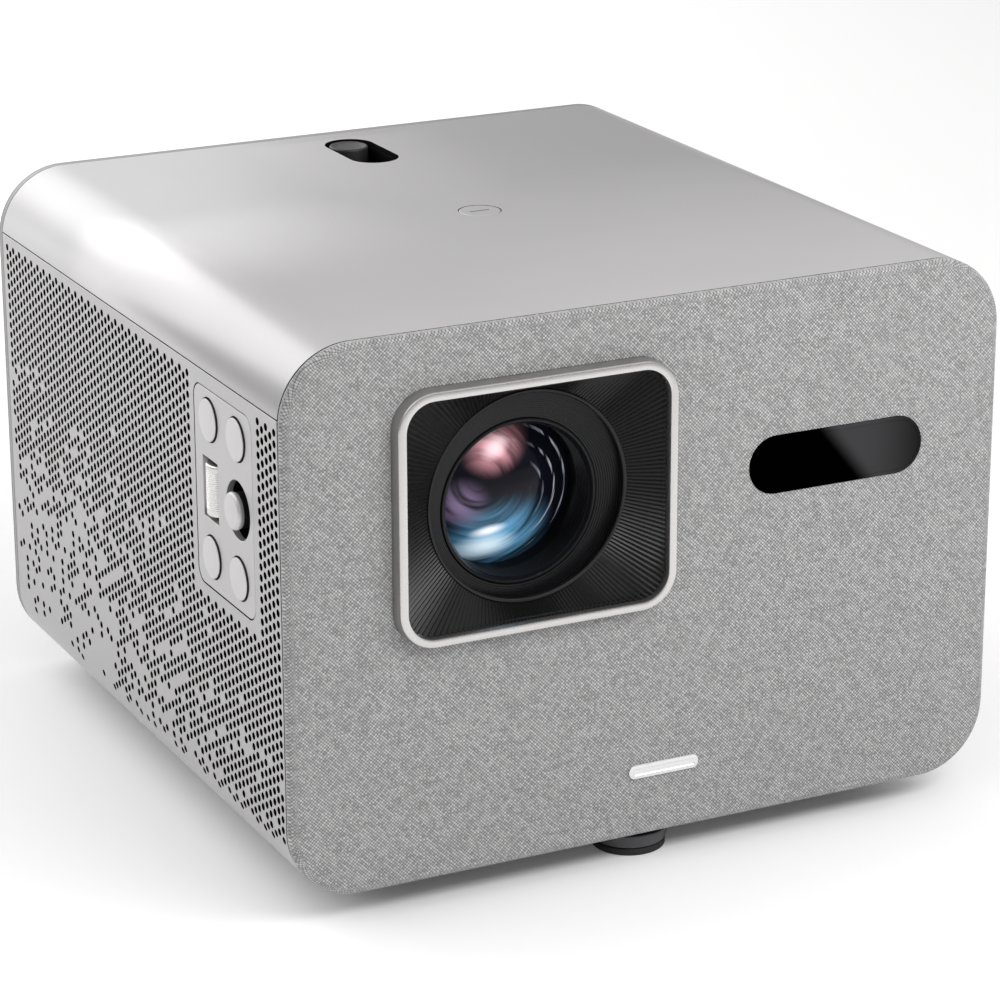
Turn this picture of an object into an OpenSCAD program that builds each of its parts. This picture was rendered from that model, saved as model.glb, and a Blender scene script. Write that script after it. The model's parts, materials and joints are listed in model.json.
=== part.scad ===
// Home projector with a fabric front, perforated side plates and a screw foot.
// Origin: middle of the footprint, on the surface that the feet stand on.
// -Y is the lens side, +X is the right-hand side seen from the front, +Z is up.

/* [Body] */
// Width across the two side plates
body_w = 260; // [254:1:266]
// Height of the shell, from its underside to its top
body_h = 184; // [180:1:190]
// Depth from the fabric to the rear panel
body_d = 261; // [258:1:266]
// Radius of the four long edges
edge_r = 24.5; // [22:0.5:26]
// Thickness of the shell plates
wall = 2.2; // [2:0.1:2.4]
// Height of the seam under the top cover, above the middle of the body
seam_h = 69.8; // [68:0.2:72]
// Space between the surface and the underside
foot_gap = 9.5; // [9:0.1:12]

/* [Front] */
// Width of the lens bezel
bezel_w = 99.5; // [98:0.5:102]
// Height of the lens bezel
bezel_h = 85; // [84:0.5:88]
// How far the bezel stands out of the fabric
bezel_proud = 5; // [3:0.5:6]
// Width of the bezel's front lip
bezel_lip = 3.4; // [3:0.1:4]
// Thickness of the fabric
fabric_t = 0.9; // [0.6:0.1:1.2]
// Radius of the round opening in the lens shroud
shroud_r = 34.3; // [33:0.1:35]
// Radius of the lens barrel's bore
bore_r = 25.6; // [25:0.1:26]
// Width of the sensor window
window_w = 66; // [62:1:70]
// Height of the sensor window
window_h = 20; // [18:0.5:22]

/* [Controls] */
// Radius of a round side button
button_r = 7; // [6.5:0.1:7.4]
// Travel of a side button
button_travel = 0.8; // [0.5:0.1:0.9]
// Radius of the navigation knob
knob_r = 6.2; // [5.5:0.1:6.6]
// Radius of the thumb roller
wheel_r = 6; // [5.8:0.1:6.1]
// Radius of the power button
power_r = 7.3; // [7:0.1:8]
// Radius of the slider knob on the top
slider_r = 7.3; // [6.5:0.1:7.6]

/* [Underside] */
// Radius of the front foot's rubber pad
foot_r = 12.5; // [11:0.5:14]
// Radius of a rear foot
rear_foot_r = 11; // [9:0.5:12]
// Spacing of the ceiling-mount threads across the body
mount_x = 120; // [100:5:130]
// Spacing of the ceiling-mount threads along the body
mount_y = 100; // [80:5:110]

/* [Hidden] */
$fn = 64;

// The frame of the whole object
front_y = -(body_d - bezel_proud) / 2;
back_y = front_y + body_d;
mid_z = foot_gap + body_h / 2;
top_z = foot_gap + body_h;
side_x = body_w / 2;

// Shell
fabric_wrap = 3.6;
reveal = 0.8;
shell_y0 = front_y + fabric_wrap + reveal;
rear_t = 3;
groove = 0.4;
shell_y1 = back_y - rear_t - groove;
seam_gap = 0.5;
floor_turn = 9;
pan_edge = side_x - edge_r - floor_turn;
slip = 0.3;
spigot_t = 2;
spigot_d = 6;
frame_t = 4.2;

// Places on the front face: [across, above the middle]
bezel_at = [-44, 32];
lens_at = [-44.3, 28.6];
window_at = [67.5, 30.7];
badge_at = [3.8, -68.5];
bezel_r = 13;
shroud_depth = 4;

// Depths along the lens axis, counted from the fabric
barrel_d0 = 6.2;
throat_d = 10.5;
throat_r = 26.3;
flange_r = 40;
flange_d = 12.5;
barrel_r = 30;
barrel_d1 = 62;
glass_d = 17;
glass_dome = 42;
cell_d0 = 36;
cell_len = 14;
gear_d0 = 24;
gear_len = 8;

// Focus gears
gear_m = 1;
ring_teeth = 66;
pinion_teeth = 14;
pressure = 20;
addendum = 0.8;
dedendum = 1.05;
backlash = 0.07;
gear_reach = gear_m * (ring_teeth + pinion_teeth) / 2 + 0.06;
pinion_at = [lens_at[0] + gear_reach, lens_at[1]];

// Control panel on the left side: [behind the fabric, above the middle]
panel_w = 47.5;
panel_h = 67.5;
panel_r = 5;
panel_at = [48.75, 30.3];
col_front = 37.5;
col_rear = 60.2;
row_top = 54;
row_mid = 30.5;
row_low = 7.5;
dish_r = 9.8;
slot_w = 12.5;
slot_h = 20.5;
wheel_sunk = 4.9;
wheel_w = 17.4;
wheel_axle_r = 1.2;
pivot_sunk = 12;
stem_r = 2.4;
knob_proud = 2.7;
button_proud = 0.9;
button_dome = 40;
collar_d = 4.6;
collar_t = 1.4;
collar_w = 1.4;

// Top
power_y = front_y + 128.5;
slot_y = front_y + 227.75;
slot_len = 40;
slot_half = 9.2;
slider_y = front_y + 239.6;
tray_floor = top_z - 7.5;
tray_t = 1.2;
light_w = 7.5;
light_t = 0.9;

// Underside
foot_y = front_y + 17;
screw_r = 4;
rear_foot_x = 82;
rear_foot_y = back_y - 25;
mount_mid_y = 5;
tripod_r = 3.175;
thread_r = 2;
base_screw_x = pan_edge + 4.5;
base_screw_ys = [-90, 5, 100];
pad_t = 2.4;
peg_r = 2.5;
bushing_r = 6.5;

// Inside
board_t = 1.6;
board_z = mid_z + 24;
fan_size = 80;
fan_t = 15;
fan_bore = 38.5;
exhaust_at = [side_x - 22, -20, mid_z - 5];
intake_at = [-side_x + 7, 62, mid_z - 8];
engine_x = [-90, 10];
engine_y = [front_y + barrel_d1 + 0.2, 22];
engine_z = [mid_z - 5, mid_z + 62];
module_ys = [-48, -22, 4];
module_z = mid_z + 20;
sink_x = [62, 104];
pipe_r = 3;
sink_z = [mid_z - 43, mid_z + 33];
sink_y = [-58, 18];
supply_z = mid_z - 80;
speaker_x = [side_x - 42, side_x - 5];
speaker_y = [front_y + 16, front_y + 64];
speaker_z = [mid_z - 66, mid_z - 12];
cone_r = 20.8;

// Sockets in the rear panel, all but the inlet standing on the mainboard
hdmi_xs = [32, 54];
hdmi_size = [16.5, 7.6];
usb_x = 8;
usb_size = [14.6, 8];
jack_x = -12;
jack_size = [8.4, 8.4];
socket_z = board_z + board_t + 0.2;
socket_y = [back_y - 15, back_y - 1];
inlet_at = [-75, -52];
inlet_size = [30, 22];

// Outlines

module rounded(w, h, r) {
    square([w - 2 * r, h], center = true);
    square([w, h - 2 * r], center = true);
    for (sx = [-1, 1], sy = [-1, 1])
        translate([sx * (w / 2 - r), sy * (h / 2 - r)]) circle(r);
}

// The body's outline, drawn in by a distance
module outline(inset) {
    translate([0, mid_z]) rounded(body_w - 2 * inset, body_h - 2 * inset, edge_r - inset);
}

module shell_ring() {
    difference() {
        outline(0);
        outline(wall);
    }
}

// Extrudes an outline drawn in X and Z along Y
module along_y(y0, y1) {
    translate([0, y1, 0]) rotate([90, 0, 0]) linear_extrude(y1 - y0) children();
}

// Extrudes an outline drawn in Y and Z along X
module along_x(x0, x1) {
    translate([x0, 0, 0]) rotate([90, 0, 90]) linear_extrude(x1 - x0) children();
}

// Turns a solid's own Z into depth behind a place on the fabric
module behind_front(at) {
    translate([at[0], front_y, mid_z + at[1]]) rotate([-90, 0, 0]) children();
}

// Turns a solid's own Z into depth inside a place on the left side
module inside_left(at) {
    translate([-side_x, front_y + at[0], mid_z + at[1]]) rotate([0, 90, 0]) children();
}

module block(x, y, z) {
    translate([x[0], y[0], z[0]]) cube([x[1] - x[0], y[1] - y[0], z[1] - z[0]]);
}

// Shell

module top_cover() {
    lip_y = [shell_y0 + 12, shell_y1 - 8];
    lip_down = 2.4;
    lip_x = -side_x + wall;
    color("#cfcdcf") difference() {
        union() {
            along_y(shell_y0, shell_y1) intersection() {
                shell_ring();
                translate([-side_x, mid_z + seam_h]) square([body_w, body_h]);
            }
            for (side = [0, 1]) mirror([side, 0, 0]) {
                block([lip_x + 0.4, lip_x + 2], lip_y,
                      [mid_z + seam_h - lip_down, mid_z + seam_h + 3]);
                block([lip_x - 0.4, lip_x + 2], lip_y,
                      [mid_z + seam_h + 0.4, mid_z + seam_h + 3]);
            }
        }
        translate([0, power_y, top_z - 2 * wall]) cylinder(h = 4 * wall, r = power_r + 0.3);
        translate([0, slot_y, top_z - 2 * wall]) linear_extrude(4 * wall) slot_outline(0);
    }
}

// The oblong recess in the top, drawn out by a distance
module slot_outline(out) {
    half = slot_half + out;
    reach = slot_len / 2 - slot_half;
    square([2 * half, 2 * reach], center = true);
    for (s = [-1, 1]) translate([0, s * reach]) circle(half);
}

// One side plate: the side, the lower radius and a strip of the underside
module side_plate() {
    difference() {
        along_y(shell_y0, shell_y1) intersection() {
            shell_ring();
            translate([-side_x, foot_gap])
                square([side_x - pan_edge, mid_z + seam_h - seam_gap - foot_gap]);
        }
        for (y = base_screw_ys) translate([-base_screw_x, y, foot_gap]) {
            cylinder(h = 10, r = 1.7, center = true);
            cylinder(h = 2.4, r = 3.2, center = true);
        }
    }
}

module panel_outline(out) {
    translate([front_y + panel_at[0], mid_z + panel_at[1]])
        rounded(panel_w + 2 * out, panel_h + 2 * out, panel_r + out);
}

module left_grille() {
    color("#d6d4d2") difference() {
        side_plate();
        along_x(-side_x - 1, -side_x + wall + 1) panel_outline(groove);
    }
}

module right_grille() {
    color("#d6d4d2") mirror([1, 0, 0]) side_plate();
}

module base_pan() {
    ledge_t = 2;
    half = pan_edge - slip;
    color("#2c2d30") difference() {
        union() {
            block([-half, half], [shell_y0, shell_y1], [foot_gap, foot_gap + wall]);
            for (side = [0, 1]) mirror([side, 0, 0]) {
                block([half - 2, pan_edge + 7.5], [shell_y0 + 8, shell_y1 - 8],
                      [foot_gap + wall, foot_gap + wall + ledge_t]);
                for (y = base_screw_ys)
                    translate([base_screw_x, y, foot_gap + wall]) cylinder(h = 10, r = 4);
            }
            translate([0, mount_mid_y, foot_gap]) cylinder(h = 13, r = 10);
            at_mounts() cylinder(h = 10, r = 6);
        }
        for (side = [0, 1]) mirror([side, 0, 0]) for (y = base_screw_ys)
            translate([base_screw_x, y, foot_gap]) cylinder(h = 11, r = 1.5);
        translate([0, mount_mid_y, foot_gap - 1]) cylinder(h = 13, r = 6.5);
        at_mounts() translate([0, 0, -1]) cylinder(h = 9, r = 3);
        translate([0, foot_y, 0]) cylinder(h = 40, r = screw_r + 2);
        for (i = [-6:6], y = [-78, 84]) if (abs(y) < 80 || abs(i) < 5)
            translate([7 * i, y, foot_gap]) cube([3, 30, 3 * wall], center = true);
    }
}

module at_mounts() {
    for (sx = [-1, 1], sy = [-1, 1])
        translate([sx * mount_x / 2, mount_mid_y + sy * mount_y / 2, foot_gap]) children();
}

module socket_hole(x, size) {
    translate([x, socket_z + size[1] / 2]) square([size[0] + 0.6, size[1] + 0.6], center = true);
}

module rear_panel() {
    color("#2a2b2e") difference() {
        union() {
            along_y(back_y - rear_t, back_y) outline(0);
            along_y(back_y - rear_t - spigot_d, back_y - rear_t) difference() {
                outline(wall + slip);
                outline(wall + slip + spigot_t);
            }
        }
        along_y(back_y - rear_t - 1, back_y + 1) {
            for (x = hdmi_xs) socket_hole(x, hdmi_size);
            socket_hole(usb_x, usb_size);
            socket_hole(jack_x, jack_size);
            translate([inlet_at[0], mid_z + inlet_at[1]])
                square([inlet_size[0] + 0.6, inlet_size[1] + 0.6], center = true);
            for (i = [0:8]) translate([62, mid_z - 68 + 7 * i])
                square([84, 3.2], center = true);
        }
    }
}

module lens_hole(out) {
    translate([bezel_at[0], mid_z + bezel_at[1]])
        rounded(bezel_w + 2 * out, bezel_h + 2 * out, bezel_r + out);
}

module window_hole(out) {
    translate([window_at[0], mid_z + window_at[1]]) window_outline(out);
}

module window_outline(out) {
    reach = (window_w - window_h) / 2;
    square([2 * reach, window_h + 2 * out], center = true);
    for (s = [-1, 1]) translate([s * reach, 0]) circle(window_h / 2 + out);
}

module front_frame() {
    color("#3a3a3d") {
        along_y(front_y + fabric_t, front_y + frame_t) difference() {
            outline(fabric_t);
            lens_hole(0.2);
            window_hole(0.2);
        }
        along_y(front_y + frame_t, front_y + frame_t + spigot_d) difference() {
            outline(wall + slip);
            outline(wall + slip + spigot_t);
        }
    }
}

module front_fabric() {
    color("#a3a3a3") {
        along_y(front_y, front_y + fabric_t) difference() {
            outline(0);
            lens_hole(0.1);
            window_hole(0.1);
        }
        along_y(front_y + fabric_t, front_y + fabric_wrap) difference() {
            outline(0);
            outline(fabric_t);
        }
    }
}

// Lens

module lens_bezel() {
    color("#dcdbd9") {
        along_y(front_y - bezel_proud, front_y + 6) difference() {
            lens_hole(0);
            lens_hole(-bezel_lip);
        }
        along_y(front_y + frame_t + 0.2, front_y + 6) difference() {
            lens_hole(2.4);
            lens_hole(-bezel_lip / 2);
        }
    }
}

module lens_shroud() {
    rim = bezel_lip + 0.2;
    rim_y = front_y - bezel_proud + 1.2;
    color("#1b1b1d") difference() {
        along_y(rim_y, front_y + 6) lens_hole(-rim);
        hull() {
            along_y(rim_y - 0.1, rim_y) lens_hole(-rim - 1);
            behind_front(bezel_at) translate([0, 0, shroud_depth]) cylinder(h = 0.1, r = shroud_r);
        }
        behind_front(bezel_at) cylinder(h = 20, r = shroud_r);
    }
}

module sensor_window() {
    color("#101114") {
        along_y(front_y - 0.5, front_y + frame_t) window_hole(0);
        along_y(front_y + frame_t, front_y + frame_t + 1) window_hole(2);
    }
}

module badge() {
    color("#e2e2e2") along_y(front_y - 0.7, front_y)
        translate([badge_at[0], mid_z + badge_at[1]]) rounded(26, 5, 2.2);
}

// A stepped throat leads from the flange to the bore
module lens_barrel() {
    steps = 6;
    wide = flange_r - 1.6;
    step_r = (wide - throat_r) / steps;
    step_d = (throat_d - barrel_d0) / steps;
    throat = [for (i = [0:steps - 1], k = [0, 1])
        [wide - (i + k) * step_r, barrel_d0 + i * step_d + k * step_d * 0.2]];
    color("#141416") behind_front(lens_at) rotate_extrude() polygon(concat(
        [[flange_r, barrel_d0]],
        throat,
        [[throat_r, throat_d], [bore_r, throat_d], [bore_r, barrel_d1], [barrel_r, barrel_d1],
         [barrel_r, flange_d], [flange_r, flange_d]]
    ));
}

module front_lens() {
    color("#5d6f9a") behind_front(lens_at) intersection() {
        translate([0, 0, glass_d]) cylinder(h = 14, r = bore_r - 0.1);
        translate([0, 0, glass_d + glass_dome]) sphere(r = glass_dome);
    }
}

function involute(a) = tan(a) * 180 / PI - a;

// Half of the angle that a tooth takes up at radius r, on a gear with n teeth
function half_tooth(n, r) =
    let (pitch_r = gear_m * n / 2, base_r = pitch_r * cos(pressure))
    90 / n - backlash / pitch_r * 180 / PI + involute(pressure)
    - involute(acos(min(1, base_r / r)));

function polar(r, a) = [r * cos(a), r * sin(a)];

// Gear outline with a tooth centred on its first axis
function gear_points(n) =
    let (pitch_r = gear_m * n / 2, base_r = pitch_r * cos(pressure),
         radii = [pitch_r - dedendum, max(base_r, pitch_r - addendum), pitch_r,
                  pitch_r + addendum])
    [for (i = [0:n - 1], side = [-1, 1], k = [0:3])
        let (r = radii[side < 0 ? k : 3 - k])
        polar(r, 360 * i / n + side * half_tooth(n, max(r, base_r)))];

module focus_ring() {
    color("#3c3c40")
    along_y(front_y + gear_d0, front_y + gear_d0 + gear_len)
        translate([lens_at[0], mid_z + lens_at[1]]) difference() {
            polygon(gear_points(ring_teeth));
            circle(barrel_r + 0.07);
        }
}

module focus_pinion() {
    color("#d9b45a") {
        along_y(front_y + gear_d0, front_y + gear_d0 + gear_len)
            translate([pinion_at[0], mid_z + pinion_at[1]]) rotate(180 / pinion_teeth)
                polygon(gear_points(pinion_teeth));
        behind_front(pinion_at) translate([0, 0, gear_d0]) cylinder(h = 20, r = 1.5);
    }
}

module focus_motor() {
    can_d0 = 37;
    color("#8d8f94") difference() {
        union() {
            behind_front(pinion_at) translate([0, 0, can_d0]) cylinder(h = 20, r = 8);
            block([lens_at[0] + barrel_r + 0.1, pinion_at[0]],
                  [front_y + can_d0, front_y + can_d0 + 3],
                  [mid_z + lens_at[1] - 4, mid_z + lens_at[1] + 4]);
        }
        behind_front(pinion_at) translate([0, 0, can_d0 - 1]) cylinder(h = 9, r = 1.56);
    }
}

module focus_cell() {
    color("#55565a") behind_front(lens_at) translate([0, 0, cell_d0]) difference() {
        cylinder(h = cell_len, r = bore_r - 0.07);
        translate([0, 0, -1]) cylinder(h = cell_len + 2, r = 21);
    }
}

module focus_lens() {
    color("#7787aa") behind_front(lens_at) intersection() {
        translate([0, 0, cell_d0 + 3]) cylinder(h = 9, r = 21);
        translate([0, 0, cell_d0 + 3 + 60]) sphere(r = 60);
    }
}

// Light engine and cooling

module light_engine() {
    t = 3;
    color("#8b8d90") difference() {
        block(engine_x, engine_y, engine_z);
        block([engine_x[0] + t, engine_x[1] - t], [engine_y[0] + t, engine_y[1] - t],
              [engine_z[0] + t, engine_z[1] - t]);
        behind_front(lens_at) translate([0, 0, barrel_d1 - 1]) cylinder(h = 8, r = 24);
        for (y = module_ys) translate([engine_x[1], y, module_z]) rotate([0, 90, 0])
            cylinder(h = 10, r = 8.2, center = true);
    }
}

module chip_board() {
    x = engine_x[0] - 0.2;
    color("#1f5a3a") {
        block([x - board_t, x], [-50, 10], [mid_z + 2, mid_z + 56]);
        block([x - board_t - 4, x - board_t], [-36, -6], [mid_z + 18, mid_z + 42]);
    }
}

module light_modules() {
    color("#b7793f") for (y = module_ys) {
        block([engine_x[1] + 0.2, engine_x[1] + 8], [y - 12, y + 12],
              [module_z - 12, module_z + 12]);
        translate([engine_x[1] - 8, y, module_z]) rotate([0, 90, 0])
            cylinder(h = 8.2, r = 8);
    }
}

module pipes(x0, x1, r) {
    for (y = module_ys) translate([x0, y, module_z]) rotate([0, 90, 0])
        cylinder(h = x1 - x0, r = r);
}

module heat_pipes() {
    color("#b87343") pipes(engine_x[1] + 8, sink_x[1] - 4, pipe_r);
}

module heat_sink() {
    fins = 19;
    pitch = (sink_y[1] - sink_y[0] - 1) / (fins - 1);
    color("#c2c4c7") difference() {
        union() {
            block([sink_x[0], sink_x[0] + 4], sink_y, sink_z);
            for (i = [0:fins - 1]) {
                y = sink_y[0] + i * pitch;
                block([sink_x[0] + 3, sink_x[1]], [y, y + 1], sink_z);
            }
        }
        pipes(sink_x[0] - 1, sink_x[1] - 4, pipe_r);
    }
}

// A fan frame whose own Z is the way the air goes
module fan_frame() {
    difference() {
        translate([-fan_size / 2, -fan_size / 2, 0]) cube([fan_size, fan_size, fan_t]);
        translate([0, 0, -1]) cylinder(h = fan_t + 2, r = fan_bore);
        for (sx = [-1, 1], sy = [-1, 1])
            translate([sx * 35.5, sy * 35.5, -1]) cylinder(h = fan_t + 2, r = 2.2);
    }
    difference() {
        union() {
            cylinder(h = 2, r = 14);
            for (a = [45:90:315]) rotate(a) translate([10, -1.5, 0]) cube([30, 3, 2]);
        }
        translate([0, 0, -1]) cylinder(h = 4, r = 2.06);
    }
}

module fan_rotor() {
    translate([0, 0, 2.6]) {
        cylinder(h = 11, r = 16);
        intersection() {
            cylinder(h = 10.5, r = fan_bore - 0.8);
            for (i = [0:6]) rotate(i * 360 / 7) translate([26, 0, 5.2]) rotate([38, 0, 0])
                cube([26, 1.6, 20], center = true);
        }
    }
    cylinder(h = 3, r = 2);
}

module at_intake() {
    translate(intake_at) rotate([0, 90, 0]) children();
}

module at_exhaust() {
    translate(exhaust_at) rotate([0, 90, 0]) children();
}

module intake_fan_frame() {
    color("#1d1d1f") at_intake() fan_frame();
}

module intake_fan_rotor() {
    color("#2d2d30") at_intake() fan_rotor();
}

module exhaust_fan_frame() {
    color("#1d1d1f") at_exhaust() fan_frame();
}

module exhaust_fan_rotor() {
    color("#2d2d30") at_exhaust() fan_rotor();
}

// Electronics

module mainboard() {
    top = board_z + board_t;
    color("#1f5a3a") {
        block([-60, 95], [30, back_y - 3.4 - spigot_d], [board_z, top]);
        block([-20, 20], [50, 90], [top, top + 7]);
        block([45, 65], [50, 70], [top, top + 3]);
    }
}

// A socket shell with its mouth at the rear
module socket(x, size, mouth) {
    z = socket_z + size[1] / 2;
    along_y(socket_y[0], socket_y[0] + 2) translate([x, z]) square(size, center = true);
    along_y(socket_y[0] + 2, socket_y[1]) translate([x, z]) difference() {
        square(size, center = true);
        square(mouth, center = true);
    }
}

module hdmi_sockets() {
    color("#b9bbbe") for (x = hdmi_xs) socket(x, hdmi_size, [14.4, 5.4]);
}

module usb_socket() {
    color("#b9bbbe") socket(usb_x, usb_size, [12.8, 5.8]);
}

module audio_jack() {
    color("#26262a") difference() {
        along_y(socket_y[0], socket_y[1])
            translate([jack_x, socket_z + jack_size[1] / 2]) square(jack_size, center = true);
        translate([jack_x, socket_y[1] + 1, socket_z + jack_size[1] / 2]) rotate([90, 0, 0])
            cylinder(h = 13, r = 1.8);
    }
}

module power_inlet() {
    deep = 20;
    color("#18181a") translate([inlet_at[0], 0, mid_z + inlet_at[1]]) {
        along_y(back_y - 1 - deep, back_y - 1) difference() {
            square(inlet_size, center = true);
            rounded(inlet_size[0] - 5, inlet_size[1] - 5, 3);
        }
        along_y(back_y - 3 - deep, back_y - 1 - deep) square(inlet_size, center = true);
        for (x = [-7, 0, 7])
            along_y(back_y - 1 - deep, back_y - 11) translate([x, x == 0 ? 3 : -2])
                square([2, 4], center = true);
    }
}

module power_supply() {
    z = supply_z;
    color("#6b5a2d") {
        block([-16, 94], [40, 118], [z, z + board_t]);
        block([-2, 32], [60, 94], [z + board_t, z + 28]);
        block([44, 52], [46, 112], [z + board_t, z + 24]);
        for (y = [56, 78, 100]) translate([74, y, z + board_t]) cylinder(h = 26, r = 9);
    }
}

module camera_module() {
    d = front_y + frame_t + 4;
    z = mid_z + window_at[1];
    color("#26382f") {
        block([window_at[0] - 30, window_at[0] + 30], [d, d + board_t], [z - 8, z + 8]);
        behind_front([window_at[0] + 14, window_at[1]])
            translate([0, 0, frame_t + 1.6]) cylinder(h = 3, r = 5);
        block([window_at[0] - 22, window_at[0] - 8], [d - 2, d], [z - 4, z + 4]);
    }
}

module wireless_module() {
    z = board_z + board_t;
    color("#2b3f63") block([-52, -30], [60, 90], [z, z + 4]);
}

module at_speakers() {
    for (side = [0, 1]) mirror([side, 0, 0])
        translate([speaker_x[1], (speaker_y[0] + speaker_y[1]) / 2,
                   (speaker_z[0] + speaker_z[1]) / 2])
            rotate([0, -90, 0]) children();
}

module speaker_boxes() {
    color("#222224") difference() {
        for (side = [0, 1]) mirror([side, 0, 0]) block(speaker_x, speaker_y, speaker_z);
        at_speakers() translate([0, 0, -1]) cylinder(h = 26, r = cone_r + 0.2);
    }
}

module speaker_drivers() {
    color("#4a4a4d") at_speakers() rotate_extrude() polygon([
        [cone_r, 0.4], [18, 0.4], [8, 7], [0, 5], [0, 22], [14, 22], [14, 12], [cone_r, 4]
    ]);
}

// Controls on the left side

module control_holes(out) {
    for (y = [col_front, col_rear], z = [row_top, row_low])
        inside_left([y, z]) translate([0, 0, -1]) cylinder(h = 8, r = button_r + 0.4 + out);
    inside_left([col_front, row_mid]) translate([0, 0, -1]) cylinder(h = 8, r = dish_r + out);
    inside_left([col_rear, row_mid]) translate([-slot_h / 2 - out, -slot_w / 2 - out, -1])
        cube([slot_h + 2 * out, slot_w + 2 * out, 8]);
}

module control_plate() {
    flange_t = 1.4;
    color("#d6d4d2") {
        difference() {
            along_x(-side_x, -side_x + wall + 0.2) panel_outline(0);
            control_holes(0);
        }
        difference() {
            along_x(-side_x + wall + 0.2, -side_x + wall + 0.2 + flange_t) panel_outline(3);
            control_holes(2);
        }
    }
}

// A domed cap with a retaining collar behind the plate
module side_button(at) {
    color("#d9d7d6") inside_left(at) {
        intersection() {
            translate([0, 0, -button_proud])
                cylinder(h = button_proud + collar_d + collar_t, r = button_r);
            translate([0, 0, button_dome - button_proud]) sphere(r = button_dome);
        }
        translate([0, 0, collar_d]) cylinder(h = collar_t, r = button_r + collar_w);
    }
}

module button_upper_rear() {
    side_button([col_rear, row_top]);
}

module button_upper_front() {
    side_button([col_front, row_top]);
}

module button_lower_rear() {
    side_button([col_rear, row_low]);
}

module button_lower_front() {
    side_button([col_front, row_low]);
}

module keypad_board() {
    gap = 1.3;
    d = collar_d + collar_t + button_travel + gap;
    color("#1f5a3a") difference() {
        union() {
            along_x(-side_x + d, -side_x + d + board_t) panel_outline(-1);
            for (y = [col_front, col_rear], z = [row_top, row_low])
                inside_left([y, z]) translate([0, 0, d - 1]) cylinder(h = 1.2, r = 2.5);
        }
        inside_left([col_front, row_mid]) cylinder(h = 20, r = dish_r + 2.1);
        inside_left([col_rear, row_mid]) translate([-13, -10.2, 0]) cube([26, 20.4, 20]);
    }
}

module nav_housing() {
    pin_r = 1.06;
    color("#141416") inside_left([col_front, row_mid]) difference() {
        translate([0, 0, wall + 0.2]) cylinder(h = 16, r = dish_r + 1.8);
        cylinder(h = 5.8, r = dish_r);
        cylinder(h = 30, r = 5);
        translate([0, 0, 6.9]) cylinder(h = 30, r = dish_r);
        translate([0, 0, pivot_sunk]) rotate([90, 0, 0])
            cylinder(h = 4 * dish_r, r = pin_r, center = true);
    }
}

module nav_gimbal() {
    color("#8d8f94") inside_left([col_front, row_mid]) translate([0, 0, pivot_sunk])
    difference() {
        union() {
            cylinder(h = 3.4, r = 7.5, center = true);
            rotate([90, 0, 0]) cylinder(h = 2 * dish_r + 2.4, r = 1, center = true);
        }
        cylinder(h = 10, r = 5.2, center = true);
        rotate([0, 90, 0]) cylinder(h = 30, r = 0.96, center = true);
    }
}

module nav_stem() {
    color("#6f7176") inside_left([col_front, row_mid]) {
        translate([0, 0, -0.2]) cylinder(h = pivot_sunk + 3.2, r = stem_r);
        translate([0, 0, pivot_sunk]) rotate([0, 90, 0]) cylinder(h = 13, r = 0.9, center = true);
    }
}

module nav_knob() {
    dome = 24;
    color("#d9d7d6") inside_left([col_front, row_mid]) difference() {
        intersection() {
            translate([0, 0, -knob_proud]) cylinder(h = knob_proud + 3.4, r = knob_r);
            translate([0, 0, dome - knob_proud]) sphere(r = dome);
        }
        translate([0, 0, -1]) cylinder(h = 10, r = stem_r + 0.06);
    }
}

// A roller on an upright axle, with fine grooves round its middle
module thumb_wheel() {
    grooves = 9;
    pitch = 1.5;
    edge = 0.8;
    color("#c9c8c7") inside_left([col_rear, row_mid]) translate([0, 0, wheel_sunk])
    rotate([0, 90, 0]) {
        difference() {
            union() {
                cylinder(h = wheel_w - 2 * edge, r = wheel_r, center = true);
                cylinder(h = wheel_w, r = wheel_r - edge, center = true);
            }
            for (i = [0:grooves - 1]) translate([0, 0, (i - (grooves - 1) / 2) * pitch])
            difference() {
                cylinder(h = 0.5, r = wheel_r + 1, center = true);
                cylinder(h = 2, r = wheel_r - 0.3, center = true);
            }
        }
        cylinder(h = wheel_w + 4.2, r = wheel_axle_r, center = true);
    }
}

// A U-shaped holder for the roller, whose wings lie against the back of the board
module wheel_bracket() {
    ear_in = 9.3;
    ear_out = 10.9;
    base_d = 12;
    base_t = 1.7;
    board_back = 9.75;
    wing_in = 13.2;
    wing_out = 14.4;
    color("#2d2d30") inside_left([col_rear, row_mid]) difference() {
        union() {
            for (s = [-1, 1]) {
                translate([s > 0 ? ear_in : -ear_out, -3.5, 2.7])
                    cube([ear_out - ear_in, 7, base_d + base_t - 2.7]);
                translate([s > 0 ? wing_in : -wing_out, -3.5, board_back])
                    cube([wing_out - wing_in, 7, base_d + base_t - board_back]);
            }
            translate([-wing_out, -3.5, base_d]) cube([2 * wing_out, 7, base_t]);
        }
        translate([0, 0, wheel_sunk]) rotate([0, 90, 0])
            cylinder(h = 40, r = wheel_axle_r + 0.06, center = true);
    }
}

module power_button() {
    color("#cfcdcf") difference() {
        union() {
            translate([0, power_y, top_z - 4.2]) cylinder(h = 4.2, r = power_r);
            translate([0, power_y, top_z - 4.2]) cylinder(h = collar_t, r = power_r + collar_w);
        }
        translate([0, power_y, top_z]) cube([light_w, light_t, 3], center = true);
    }
}

module power_light() {
    color("#eef2f6") translate([0, power_y, top_z - 0.75])
        cube([light_w, light_t, 1.5], center = true);
}

module slider_tray() {
    stem_slot = [4.8, slot_len - 11.6, 10];
    color("#101012") translate([0, slot_y, tray_floor - tray_t]) difference() {
        linear_extrude(top_z - wall - tray_floor + tray_t) slot_outline(1.6);
        translate([0, 0, tray_t]) linear_extrude(20) slot_outline(0);
        cube(stem_slot, center = true);
    }
}

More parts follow.
